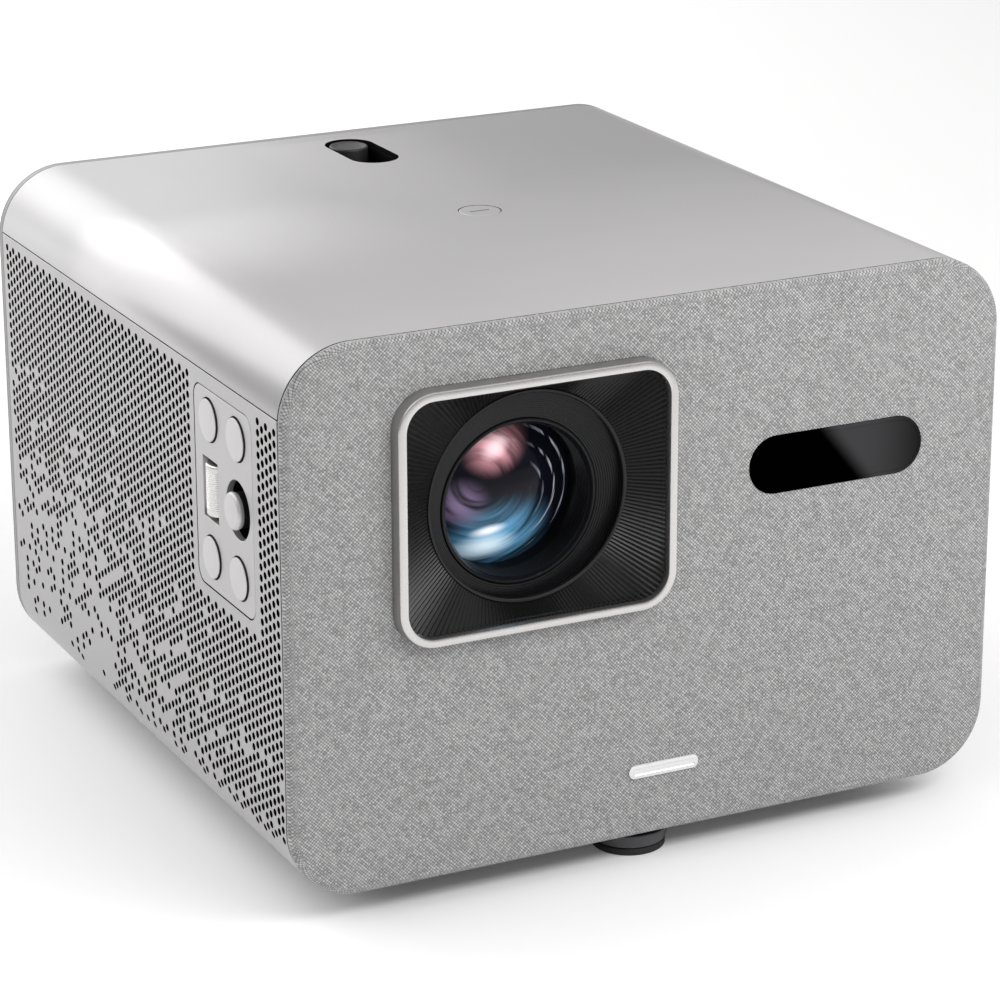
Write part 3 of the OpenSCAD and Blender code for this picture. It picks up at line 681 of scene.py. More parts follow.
def wrap_place(shell, across, down, side):
    """Where a point of the flat side plate goes once the plate is bent round its two edges"""
    half = BODY_H / 2 - shell.edge_radius
    radius = shell.edge_radius
    quarter = radius * math.pi / 2
    inset, height = 0.0, down
    if abs(down) > half:
        past = abs(down) - half
        turn = min(past, quarter) / radius
        inset = radius * (1 - math.cos(turn)) + max(0.0, past - quarter)
        height = math.copysign(half + radius * math.sin(turn), down)
    return Vector((side * (SIDE_X - inset), across, MID_Z + height))


def left_out(shell, depth, height):
    """Chance that a hole is left out: none at the top, most low down at the back"""
    back = depth / COVER.size.y
    low = min(1.0, max(0.0, (0.5 * BODY_H - height) / (0.9 * BODY_H)))
    gather = (low * (0.4 + 0.6 * back) - 0.25) / 0.75
    gather = min(1.0, max(0.0, gather))
    return shell.thinning * gather * gather * (3 - 2 * gather)


def side_plate(shell, controls, side, has_panel):
    """One perforated side plate: a lattice of cells, most with a hole, bent round its edges"""
    dice = random.Random(shell.seed + (side > 0))
    wide, tall = shell.column_pitch, shell.row_pitch
    columns, lines = shell.columns, shell.half_rows
    y0 = COVER.lo.y + shell.first_column - wide / 2
    z1 = PLATE.hi.z - MID_Z - shell.first_row + tall
    bm = bmesh.new()
    grid = bmesh.ops.create_grid(bm, x_segments=columns, y_segments=lines, size=0.5)["verts"]
    bmesh.ops.scale(bm, vec=(columns * wide, lines * tall, 1), verts=grid)
    place(bm, grid, at=(y0 + columns * wide / 2, z1 - lines * tall / 2, 0))

    def column_of(point):
        return math.floor((point.x - y0) / wide)

    def line_of(point):
        return (z1 - point.y) / tall

    doomed = []
    for edge in bm.edges:
        middle = (edge.verts[0].co + edge.verts[1].co) / 2
        line = round(line_of(middle))
        level = abs(edge.verts[0].co.y - edge.verts[1].co.y) < tall / 2
        if level and 0 < line < lines and line % 2 != column_of(middle) % 2:
            doomed.append(edge)
    bmesh.ops.dissolve_edges(bm, edges=doomed, use_verts=False)

    margin = shell.panel_margin
    panel_y = PANEL.mid.y
    panel_z = PANEL.mid.z - MID_Z
    half_w = PANEL.size.y / 2 - PANEL_FLANGE + margin
    low_z = panel_z - (PANEL.size.z / 2 - PANEL_FLANGE) - margin
    plain, holes = [], []
    for face in bm.faces:
        middle = face.calc_center_bounds()
        if has_panel and abs(middle.x - panel_y) < half_w and middle.y > low_z:
            plain.append(face)
        elif face.calc_area() > 1.5 * wide * tall:
            depth = middle.x - COVER.lo.y
            if dice.random() >= left_out(shell, depth, middle.y):
                holes.append(face)
    bmesh.ops.inset_individual(bm, faces=holes, thickness=0.3 * MM, depth=0,
                               use_even_offset=True)
    rims = list({edge for face in holes for edge in face.edges})
    bmesh.ops.subdivide_edges(bm, edges=rims, cuts=1)
    step = math.radians(30)
    for face in holes:
        middle = face.calc_center_bounds()
        for vert in face.verts:
            arm = vert.co - middle
            turn = round(math.atan2(arm.y, arm.x) / step) * step
            vert.co = middle + shell.hole_radius * Vector((math.cos(turn), math.sin(turn), 0))
    bmesh.ops.delete(bm, geom=holes, context="FACES")

    brk = shell.edge_break
    quarter = shell.edge_radius * math.pi / 2
    floor_turn = SIDE_X - shell.edge_radius + PLATE.hi.x
    low_end = -(BODY_H / 2 - shell.edge_radius) - quarter - abs(floor_turn)
    low_line = z1 - lines * tall
    bends = 18
    drops = [(low_end + brk - low_line) / bends] * bends + [-brk]
    tops = [PLATE.hi.z - MID_Z - brk - z1, brk]
    fronts = [COVER.lo.y + brk - y0, -brk]
    backs = [COVER.hi.y - brk - (y0 + columns * wide), brk]
    grow_border(bm, 1, low_line, drops)
    grow_border(bm, 1, z1, tops)
    grow_border(bm, 0, y0, fronts)
    grow_border(bm, 0, y0 + columns * wide, backs)

    if has_panel:
        ring = {edge for face in plain for edge in face.edges}
        border = [edge for edge in ring
                  if sum(face in plain for face in edge.link_faces) == 1]
        bmesh.ops.delete(bm, geom=plain, context="FACES_ONLY")
        inner = [edge for edge in ring if edge.is_valid and not edge.link_faces]
        bmesh.ops.delete(bm, geom=inner, context="EDGES")
        groove = 0.4 * MM
        less = 2 * (groove - PANEL_FLANGE)
        size = (PANEL.size.y + less, PANEL.size.z + less)
        fill_between(bm, [edge for edge in border if edge.is_valid],
                     [((panel_y, panel_z), size, controls.panel_radius + groove)])

    lines_y = (COVER.lo.y, COVER.hi.y)
    lines_z = (low_end, PLATE.hi.z - MID_Z)
    bmesh.ops.remove_doubles(bm, verts=bm.verts, dist=1e-6)
    for vert in bm.verts:
        flat = vert.co.copy()
        sink = -flat.z
        if min(abs(flat.x - lines_y[0]), abs(flat.x - lines_y[1])) < 1e-5 or \
                min(abs(flat.y - lines_z[0]), abs(flat.y - lines_z[1])) < 1e-5:
            sink = brk
        spot = wrap_place(shell, flat.x, flat.y, side)
        if sink:
            near = wrap_place(shell, flat.x, flat.y + 0.1 * MM, side)
            along = (near - spot).normalized()
            inward = along.cross(Vector((0, 1, 0))) * side
            spot += inward.normalized() * sink
        vert.co = spot
    return bm


def drawn_out(bm, edges):
    """Extrudes edges into faces, and returns the new vertices and the new outline"""
    grown = bmesh.ops.extrude_edge_only(bm, edges=edges)["geom"]
    verts = [item for item in grown if isinstance(item, bmesh.types.BMVert)]
    outline = [item for item in grown if isinstance(item, bmesh.types.BMEdge)
               and all(vert in verts for vert in item.verts)]
    return verts, outline


def grow_border(bm, axis, value, moves):
    """Extrudes the border edges that lie at one value of an axis, once for each move"""
    edges = [edge for edge in bm.edges if edge.is_boundary
             and all(abs(vert.co[axis] - value) < 1e-6 for vert in edge.verts)]
    for move in moves:
        verts, edges = drawn_out(bm, edges)
        shift = Vector((0, 0, 0))
        shift[axis] = move
        bmesh.ops.translate(bm, vec=shift, verts=verts)


class PROJECTOR_OT_side_plates(bpy.types.Operator):
    """Bends and perforates the two side plates"""

    bl_idname = "projector.side_plates"
    bl_label = "Side plates"

    def execute(self, context):
        shell = context.scene.projector_shell
        controls = context.scene.projector_controls
        paint = satin_paint("plate_paint_painted_shade", shell.plate_silver_painted_shade)
        # Black inside the plate, and painted shade on the walls of its holes
        lining = black_lining_and_painted_shade("plate_lining_and_shade")
        for node, side in (("left_grille", -1), ("right_grille", 1)):
            bm = side_plate(shell, controls, side, has_panel=side < 0)
            made = piece(node + "_plate", bm, "housing", paint, (node,),
                         sharp=46)
            thicken(made, shell.wall, lining)
        return {"FINISHED"}


class PROJECTOR_OT_top_cover(bpy.types.Operator):
    """Bends the top cover and cuts its openings"""

    bl_idname = "projector.top_cover"
    bl_label = "Top cover"

    def execute(self, context):
        shell = context.scene.projector_shell
        brk = shell.edge_break
        radius = shell.edge_radius
        flat_half = SIDE_X - radius
        bm = bmesh.new()
        verts = bmesh.ops.create_grid(bm, x_segments=1, y_segments=1, size=0.5)["verts"]
        bmesh.ops.scale(bm, vec=(2 * flat_half, COVER.size.y - 2 * brk, 1), verts=verts)
        place(bm, verts, at=(0, COVER.mid.y, 0))
        sheet = next(iter(bm.faces))
        border = list(sheet.edges)
        bmesh.ops.delete(bm, geom=[sheet], context="FACES_ONLY")
        slot_w = TRAY.size.x - 2 * TRAY_FLANGE
        slot_l = TRAY.size.y - 2 * TRAY_FLANGE
        ring = power_radius() + 0.3 * MM
        fill_between(bm, border, [
            ((0, TRAY.mid.y), (slot_w, slot_l), slot_w / 2 - 0.01 * MM),
            ((0, POWER.mid.y), (2 * ring, 2 * ring), ring - 0.01 * MM),
        ])
        bmesh.ops.recalc_face_normals(bm, faces=bm.faces)
        bends = 30
        end = math.acos((PLATE.hi.z + shell.seam + radius - TOP_Z) / radius)
        arc_step = radius * end / bends
        grow_border(bm, 0, flat_half, [arc_step] * bends)
        grow_border(bm, 0, -flat_half, [-arc_step] * bends)
        grow_border(bm, 1, COVER.lo.y + brk, [-brk])
        grow_border(bm, 1, COVER.hi.y - brk, [brk])
        bmesh.ops.remove_doubles(bm, verts=bm.verts, dist=1e-6)
        for vert in bm.verts:
            past = max(0.0, abs(vert.co.x) - flat_half)
            turn = past / radius
            out = Vector((math.copysign(math.sin(turn), vert.co.x), 0, math.cos(turn)))
            centre = Vector((math.copysign(min(abs(vert.co.x), flat_half), vert.co.x),
                             vert.co.y, TOP_Z - radius))
            at_edge = min(abs(vert.co.y - COVER.lo.y), abs(vert.co.y - COVER.hi.y)) < 1e-6
            sink = brk if at_edge else -vert.co.z
            vert.co = centre + out * (radius - sink)
        made = piece("top_cover_shell", bm, "housing",
                     satin_paint("cover_paint", shell.silver, 0.34), ("top_cover",), sharp=46)
        # Black inside the cover, and painted shade on the walls of its openings
        thicken(made, shell.wall, black_lining_and_painted_shade("cover_lining_and_shade"))
        return {"FINISHED"}


def power_radius():
    """Radius of the power button's face, without its collar"""
    return POWER.size.x / 2 - BUTTON_COLLAR


# Front


def corner_arm(across, up, half_w, half_h, radius):
    """Splits a point of the cloth into the nearest place within the corners' centres and the rest"""
    core = Vector((max(radius - half_w, min(half_w - radius, across)),
                   max(radius - half_h, min(half_h - radius, up))))
    arm = Vector((across, up)) - core
    return core, arm


class PROJECTOR_OT_front_fabric(bpy.types.Operator):
    """Stretches the cloth over the front frame"""

    bl_idname = "projector.front_fabric"
    bl_label = "Front fabric"

    def execute(self, context):
        shell = context.scene.projector_shell
        front = context.scene.projector_front
        edge = front.fabric_edge
        depth = FABRIC.size.y
        bm = bmesh.new()
        face = flat_rounded(bm, FABRIC.size.x, FABRIC.size.z, shell.edge_radius, 20)
        place(bm, face.verts, at=(0, 0, -depth))
        turns = 6
        moves = [(0, depth - edge)]
        for i in range(turns):
            low, high = (math.radians(90 * k / turns) for k in (i, i + 1))
            moves.append((edge * (math.cos(low) - math.cos(high)),
                          edge * (math.sin(high) - math.sin(low))))
        face = steps(bm, face, moves)
        border = list(face.edges)
        bmesh.ops.delete(bm, geom=[face], context="FACES_ONLY")
        extra = [item for item in bm.faces if len(item.verts) > 8]
        bmesh.ops.delete(bm, geom=extra, context="FACES_ONLY")
        room = 0.06 * MM
        hole_w, hole_h = (2 * room + side for side in bezel_outline())
        win_w, win_h = (2 * room + side for side in window_outline())
        fill_between(bm, border, [
            ((BEZEL.mid.x, BEZEL.mid.z - MID_Z), (hole_w, hole_h), front.bezel_radius + room),
            ((WINDOW.mid.x, WINDOW.mid.z - MID_Z), (win_w, win_h), win_h / 2 - 0.01 * MM),
        ])
        bmesh.ops.remove_doubles(bm, verts=bm.verts, dist=1e-6)
        bmesh.ops.recalc_face_normals(bm, faces=bm.faces)
        self.keep_flat_places(bm, shell, front)
        place(bm, bm.verts, FACE_FRONT, (0, FRONT_Y, MID_Z))
        made = piece("front_fabric_cloth", bm, "housing",
                     heather_cloth("heather_cloth", front), ("front_fabric",), outward=False)
        thicken(made, front.fabric_thickness)
        return {"FINISHED"}

    def cloth_area(self, made):
        """Area of the cut cloth: the sheet as drawn, before it has a thickness"""
        return sum(polygon.area for polygon in made.data.polygons)

    def keep_flat_places(self, bm, shell, front):
        """Gives each corner the place it had on the flat cloth, for the weave to follow"""
        layer = bm.loops.layers.uv.new("cloth")
        edge = front.fabric_edge
        radius = shell.edge_radius
        half_w, half_h = FABRIC.size.x / 2, FABRIC.size.z / 2
        for face in bm.faces:
            for loop in face.loops:
                spot = loop.vert.co
                core, arm = corner_arm(spot.x, spot.y, half_w, half_h, radius)
                reach = arm.length
                if reach > radius - edge + 1e-6 and face_is_outer(spot, half_w, half_h, edge):
                    bend = math.acos(min(1.0, max(-1.0, (radius - reach) / edge)))
                    turned_by = math.pi / 2 - bend
                    flat_reach = radius - edge + edge * turned_by + max(0.0, -spot.z - edge)
                    arm = arm.normalized() * flat_reach
                loop[layer].uv = core + arm


def face_is_outer(spot, half_w, half_h, edge):
    """Is a point on the rounded rim of the cloth, and not on the rim of an opening?"""
    return abs(spot.x) > half_w - 26 * MM or abs(spot.y) > half_h - edge - 0.1 * MM


def bezel_outline():
    """Width and height of the bezel without the flange behind it"""
    return BEZEL.size.x - 2 * BEZEL_FLANGE, BEZEL.size.z - 2 * BEZEL_FLANGE


def window_outline():
    """Width and height of the sensor window without the flange behind it"""
    return WINDOW.size.x - 2 * WINDOW_FLANGE, WINDOW.size.z - 2 * WINDOW_FLANGE


class PROJECTOR_OT_lens_bezel(bpy.types.Operator):
    """Makes the satin bezel with its broken edges"""

    bl_idname = "projector.lens_bezel"
    bl_label = "Lens bezel"

    def execute(self, context):
        front = context.scene.projector_front
        proud = FRONT_Y - BEZEL.lo.y
        behind = 4.2 * MM
        lip = front.bezel_lip
        width, height = bezel_outline()
        bm = bmesh.new()
        base = flat_rounded(bm, width, height, front.bezel_radius, 16)
        place(bm, base.verts, at=(0, 0, -behind))
        bmesh.ops.duplicate(bm, geom=[base])
        steps(bm, base, [
            (0, behind), (0.35 * MM, proud - 0.7 * MM),
            (0.12 * MM, 0.35 * MM), (0.2 * MM, 0.24 * MM), (0.33 * MM, 0.11 * MM),
            (lip - 1.6 * MM, 0), (0.35 * MM, -0.12 * MM), (0.2 * MM, -0.35 * MM),
            (0.05 * MM, -1.5 * MM), (0, -(behind + proud - 2.4 * MM)),
        ])
        bmesh.ops.remove_doubles(bm, verts=bm.verts, dist=1e-7)
        rims = [face for face in bm.faces if len(face.verts) > 8]
        close_ring(bm, rims[0], rims[-1])
        place(bm, bm.verts, FACE_FRONT, (BEZEL.mid.x, FRONT_Y, BEZEL.mid.z))
        piece("lens_bezel_frame", bm, "housing",
              bezel_metal("bezel_metal", front.bezel_silver), ("lens_bezel",), sharp=30)
        return {"FINISHED"}


def bezel_metal(name, rgb):
    """Grey blasted walls behind a bright cut front lip; the walls' darker grey is painted shade"""
    shader = Shader(name)
    _, depth, _ = shader.axes(shader.place())
    grain = shader.noise(shader.place(), 0.35 * MM, 3.0, 0.7)
    cloud = shader.noise(shader.place(), 14 * MM, 2.0)
    lip = ((depth - BEZEL.lo.y) * 1000).smooth(0.75, 0.35)
    # Painted shade: the walls are a darker copy of the silver on the lip
    wall = shader.mix(rgba(rgb, 0.58), rgba(rgb, 0.70), cloud)
    return shader.surface({
        "Base Color": shader.mix(wall, rgba(rgb, 0.88), lip),
        "Roughness": 0.26 + 0.06 * grain - 0.04 * lip,
        "Metallic": 0.9,
        "Normal": shader.bump(grain, 0.008 * MM),
    })


def rounded_reach(turn, half_w, half_h, radius):
    """Distance from the middle of a rounded rectangle to its edge, at an angle"""
    across, up = abs(math.cos(turn)), abs(math.sin(turn))
    to_side = half_w / max(across, 1e-9)
    to_top = half_h / max(up, 1e-9)
    reach = min(to_side, to_top)
    corner_x, corner_y = half_w - radius, half_h - radius
    if reach * across > corner_x and reach * up > corner_y:
        along = across * corner_x + up * corner_y
        inside = along * along - corner_x ** 2 - corner_y ** 2 + radius ** 2
        reach = along + math.sqrt(max(0.0, inside))
    return reach


class PROJECTOR_OT_lens_shroud(bpy.types.Operator):
    """Makes the shroud: fine ribs that run from the bezel to the round opening"""

    bl_idname = "projector.lens_shroud"
    bl_label = "Lens shroud"

    def execute(self, context):
        front = context.scene.projector_front
        half_w, half_h = SHROUD.size.x / 2, SHROUD.size.z / 2
        corner = front.bezel_radius - front.bezel_lip - 0.2 * MM
        rim = FRONT_Y - SHROUD.lo.y
        hole = 34.3 * MM
        bead = hole + 1.0 * MM
        sunk = -4.0 * MM
        count = 2 * front.ribs
        bm = bmesh.new()
        loop = bmesh.ops.create_circle(bm, radius=hole, segments=count)["verts"]
        place(bm, loop, at=(0, 0, sunk - 1.6 * MM))
        edges = list({edge for vert in loop for edge in vert.link_edges})
        # Each ring is its radius, or None at the bezel, its height and how far its ribs are cut
        rings = [(hole, sunk - 0.3 * MM, 0), (hole + 0.3 * MM, sunk, 0), (bead, sunk, 0),
                 (bead + 0.3 * MM, sunk - 0.3 * MM, 0.2), (None, rim - 0.9 * MM, 1),
                 (None, rim - 1.8 * MM, 0)]
        for reach, height, rib in rings:
            verts, edges = drawn_out(bm, edges)
            for vert in verts:
                turn = math.atan2(vert.co.y, vert.co.x)
                crest = round(turn / (2 * math.pi) * count) % 2
                out = rounded_reach(turn, half_w, half_h, corner) if reach is None else reach
                drop = front.rib_depth * rib * (1 - crest)
                vert.co = Vector((out * math.cos(turn), out * math.sin(turn), height - drop))
        place(bm, bm.verts, FACE_FRONT, (SHROUD.mid.x, FRONT_Y, SHROUD.mid.z))
        made = piece("lens_shroud_ribs", bm, "housing",
                     moulded_plastic("shroud_satin", (0.005, 0.005, 0.005), 0.27, specular=0.34),
                     ("lens_shroud",), sharp=20)
        thicken(made, 0.9 * MM, even=False)
        return {"FINISHED"}


def place_on_axis(bm):
    """Moves a shape turned round Z onto the lens axis, its height out of the fabric"""
    place(bm, bm.verts, FACE_FRONT, (BARREL.mid.x, FRONT_Y, BARREL.mid.z))


class PROJECTOR_OT_lens(bpy.types.Operator):
    """Turns the stepped throat of the lens barrel and its domed outer glass"""

    bl_idname = "projector.lens"
    bl_label = "Lens"

    def execute(self, context):
        bm = bmesh.new()
        turned(bm, self.barrel_profile(), 112)
        place_on_axis(bm)
        piece("lens_barrel_turned", bm, "housing",
              moulded_plastic("barrel_satin", (0.005, 0.005, 0.006), 0.26, 0.18 * MM, 0.25),
              ("lens_barrel",), sharp=30)
        self.glass()
        return {"FINISHED"}

    def barrel_profile(self):
        """Flange, fluted throat, bead, grooved bore and the tube behind, as (radius, height)"""
        front = FRONT_Y - BARREL.lo.y
        back = FRONT_Y - BARREL.hi.y
        flange = BARREL.size.x / 2
        flange_back = front - 6.3 * MM
        tube = 30 * MM
        throat, throat_h = 26.3 * MM, -10.5 * MM
        points = [(flange, flange_back), (flange, front)]
        wide = flange - 1.4 * MM
        flutes = 15
        for i in range(flutes):
            high = front + (throat_h - front) * i / flutes
            low = front + (throat_h - front) * (i + 1) / flutes
            outer = wide + (throat + 1.6 * MM - wide) * i / flutes
            inner = wide + (throat + 1.6 * MM - wide) * (i + 1) / flutes
            points += [(outer, high), (inner + 0.2 * (outer - inner), high - 0.05 * MM),
                       (inner, low)]
        points += arc((throat + 0.8 * MM, throat_h), 0.8 * MM, 0, 180, 6)
        bore = throat - 0.7 * MM
        height = throat_h - 1.0 * MM
        grooves = 8
        sunk = bore + 0.45 * MM
        for _ in range(grooves):
            points += [(bore, height), (bore, height - 0.5 * MM), (sunk, height - 0.62 * MM),
                       (sunk, height - 0.86 * MM)]
            height -= 1.0 * MM
        points += [(bore, height), (bore, back), (tube, back), (tube, flange_back),
                   (flange, flange_back)]
        return points

    def glass(self):
        radius = LENS.size.x / 2
        apex = FRONT_Y - LENS.lo.y
        dome = 42 * MM
        lean = math.degrees(math.asin(radius / dome))
        profile = arc((0, apex - dome), dome, 90, 90 - lean, 24)
        back = profile[-1][1] - 4.5 * MM
        profile += [(radius, back), (radius * 0.86, back - 0.8 * MM), (0, back - 1.2 * MM)]
        bm = bmesh.new()
        turned(bm, profile, 96)
        place_on_axis(bm)
        piece("front_lens_glass", bm, "housing", glass_with_painted_reflections("glass_with_painted_reflections"),
              ("front_lens",), sharp=35)


def sensor_gloss_painted_reflection(name):
    """Smoked gloss plastic with a painted reflection: a shade lighter on a slanted band to the right
    """
    shader = Shader(name)
    x, _, z = shader.axes(shader.place())
    across = (x - WINDOW.mid.x) / WINDOW.size.x
    up = (z - WINDOW.mid.z) / WINDOW.size.z
    # Painted reflection: the right part of the window is a lighter tone, cut off along a slanted
    # edge
    lean = (across + 0.28 * up).smooth(0.0, 0.13)
    painted_reflection_fade = across.smooth(0.62, 0.12)
    dust = shader.noise(shader.place(), 0.5 * MM, 2.0)
    painted_reflection_tint = shader.mix((0.0002, 0.0002, 0.0002, 1), (0.046, 0.046, 0.048, 1), lean * painted_reflection_fade)
    return shader.surface({
        "Base Color": painted_reflection_tint,
        "Roughness": 0.05 + 0.03 * dust,
        "Specular IOR Level": 0.0,
    })


class PROJECTOR_OT_sensor_window(bpy.types.Operator):
    """Makes the smoked window over the camera and distance sensor"""

    bl_idname = "projector.sensor_window"
    bl_label = "Sensor window"

    def execute(self, context):
        width, height = window_outline()
        proud = FRONT_Y - WINDOW.lo.y
        bm = bmesh.new()
        base = flat_pill(bm, width, height, 64)
        back = 3.5 * MM
        place(bm, base.verts, at=(0, 0, -back))
        bmesh.ops.duplicate(bm, geom=[base])
        steps(bm, base, [
            (0, back), (0.08 * MM, proud * 0.6), (0.16 * MM, proud * 0.3),
            (0.25 * MM, proud * 0.1), (0.75 * MM, 0), (0.12 * MM, -0.14 * MM),
            (0.14 * MM, 0), (0.12 * MM, 0.14 * MM),
        ])
        bmesh.ops.remove_doubles(bm, verts=bm.verts, dist=1e-7)
        place(bm, bm.verts, FACE_FRONT, (WINDOW.mid.x, FRONT_Y, WINDOW.mid.z))
        piece("sensor_window_lens", bm, "housing", sensor_gloss_painted_reflection("sensor_gloss_painted_reflection"),
              ("sensor_window",), sharp=30)
        return {"FINISHED"}


class PROJECTOR_OT_badge(bpy.types.Operator):
    """Makes the plain metal bar below the lens"""

    bl_idname = "projector.badge"
    bl_label = "Badge"

    def execute(self, context):
        bm = bmesh.new()
        base = flat_rounded(bm, BADGE.size.x, BADGE.size.z, 0.44 * BADGE.size.z, 8)
        bmesh.ops.duplicate(bm, geom=[base])
        tall = BADGE.size.y
        steps(bm, base, [(0, tall * 0.6), (0.15 * MM, tall * 0.3), (0.3 * MM, tall * 0.1),
                         (0.9 * MM, 0), (0.2 * MM, -0.15 * MM)])
        bmesh.ops.remove_doubles(bm, verts=bm.verts, dist=1e-7)
        place(bm, bm.verts, FACE_FRONT, (BADGE.mid.x, FRONT_Y, BADGE.mid.z))
        piece("badge_bar", bm, "housing",
              satin_metal("badge_metal", (0.80, 0.80, 0.80), 0.25, (0.1, 1, 1)), ("badge",),
              sharp=30)
        return {"FINISHED"}


# Controls on the left side


def cap_finish(name, rgb, skirt):
    """Satin paint on the face of a cap, and bare black plastic on its skirt"""
    shader = Shader(name)
    out, _, _ = shader.axes(shader.place())
    grain = shader.noise(shader.place(), 0.35 * MM, 3.0, 0.6)
    face = ((PLATE.lo.x - out - skirt) * 1000).smooth(-0.04, 0.06)
    return shader.surface({
        "Base Color": shader.mix((0.006, 0.006, 0.006, 1), rgba(rgb), face),
        "Roughness": 0.36 + 0.05 * grain,
        "Metallic": 0.5 * face,
        "Normal": shader.bump(grain, 0.012 * MM),
    })


class PROJECTOR_OT_control_panel(bpy.types.Operator):
    """Makes the control panel, its four buttons, the navigation knob and the thumb roller"""

    bl_idname = "projector.control_panel"
    bl_label = "Control panel"

    def execute(self, context):
        controls = context.scene.projector_controls
        paint = satin_paint("panel_paint_painted_shade", controls.panel_silver_painted_shade)
        cap_paint = cap_finish("button_paint", controls.silver, 0.45 * MM)
        knob_paint = cap_finish("knob_paint", controls.silver, 0.2 * MM)
        self.plate(paint)
        for name in ("upper_rear", "upper_front", "lower_rear", "lower_front"):
            self.button("button_" + name, cap_paint)
        self.knob(knob_paint)
        self.wheel(controls)
        black = moulded_plastic("well_black", (0.004, 0.004, 0.004), 0.5, specular=0.1)
        finished_copy("nav_housing", "housing", black, 0.15 * MM)
        return {"FINISHED"}

    def plate(self, paint):
        made = finished_copy("control_plate", "housing", paint, 0.28 * MM, 3)
        made.name = "control_plate_panel"

    def button(self, node, paint):
        cap = Span(node)
        radius = cap.size.y / 2 - BUTTON_COLLAR
        proud = PLATE.lo.x - cap.lo.x
        dome = 110 * MM
        edge = 0.25 * MM
        lean = math.degrees(math.asin((radius - edge) / dome))
        profile = arc((0, proud - dome), dome, 90, 90 - lean, 8)
        edge_h = profile[-1][1]
        profile += arc((radius - edge, edge_h - edge), edge, 90, 0, 4)[1:]
        back = PLATE.lo.x - cap.hi.x
        wide = radius + BUTTON_COLLAR
        step = back + 1.4 * MM
        profile += [(radius, step), (wide, step), (wide, back), (0, back)]
        bm = bmesh.new()
        turned(bm, profile, 56)
        place(bm, bm.verts, FACE_LEFT, (PLATE.lo.x, cap.mid.y, cap.mid.z))
        piece(node + "_cap", bm, node, paint, (node,), sharp=50)

    def knob(self, paint):
        radius = KNOB.size.y / 2
        proud = PLATE.lo.x - KNOB.lo.x
        back = PLATE.lo.x - KNOB.hi.x
        stem = 2.46 * MM
        bore = proud - 1.1 * MM
        edge = 1.1 * MM
        dish = 60 * MM
        lean = math.degrees(math.asin((radius - edge) / dish))
        profile = arc((0, proud - dish), dish, 90, 90 - lean, 8)
        profile += arc((radius - edge, profile[-1][1] - edge), edge, 90, 0, 6)[1:]
        profile += [(radius, proud * 0.35), (radius - 0.35 * MM, 0.1 * MM),
                    (radius - 0.35 * MM, back), (stem, back), (stem, bore), (0, bore)]
        bm = bmesh.new()
        turned(bm, profile, 64)
        place(bm, bm.verts, FACE_LEFT, (PLATE.lo.x, KNOB.mid.y, KNOB.mid.z))
        piece("nav_knob_cap", bm, "nav_knob", paint, ("nav_knob",), sharp=50)

    def wheel(self, controls):
        """A bright roller on an upright axle, with fine grooves round its middle"""
        radius = WHEEL.size.x / 2
        end = WHEEL.size.z / 2
        half = end - 2.1 * MM
        axle = 1.2 * MM
        smooth_end = 1.7 * MM
        groove = radius - 0.14 * MM
        edge = 0.8 * MM
        ribs = controls.wheel_ribs
        pitch = 2 * (half - smooth_end) / ribs
        profile = [(0, end), (axle, end), (axle, half)]
        profile += arc((radius - edge, half - edge), edge, 90, 0, 6)
        height = half - smooth_end
        for _ in range(ribs):
            profile += [(radius, height), (groove, height - 0.34 * pitch),
                        (groove, height - 0.66 * pitch)]
            height -= pitch
        profile += arc((radius - edge, edge - half), edge, 0, -90, 6)
        profile += [(axle, -half), (axle, -end), (0, -end)]
        bm = bmesh.new()
        turned(bm, profile, 72)
        place(bm, bm.verts, at=(WHEEL.mid.x, WHEEL.mid.y, WHEEL.mid.z))
        piece("thumb_roller", bm, "thumb_wheel",
              satin_metal("wheel_metal", (0.70, 0.69, 0.68), 0.24), ("thumb_wheel",), sharp=25)


# Controls on the top


def tinted_light(name):
    """A diffusing strip, dark while its light is off"""
    shader = Shader(name)
    cloud = shader.noise(shader.place(), 1.5 * MM, 2.0)
    return shader.surface({
        "Base Color": shader.mix((0.10, 0.10, 0.105, 1), (0.14, 0.14, 0.145, 1), cloud),
        "Roughness": 0.3 + 0.1 * cloud,
    })


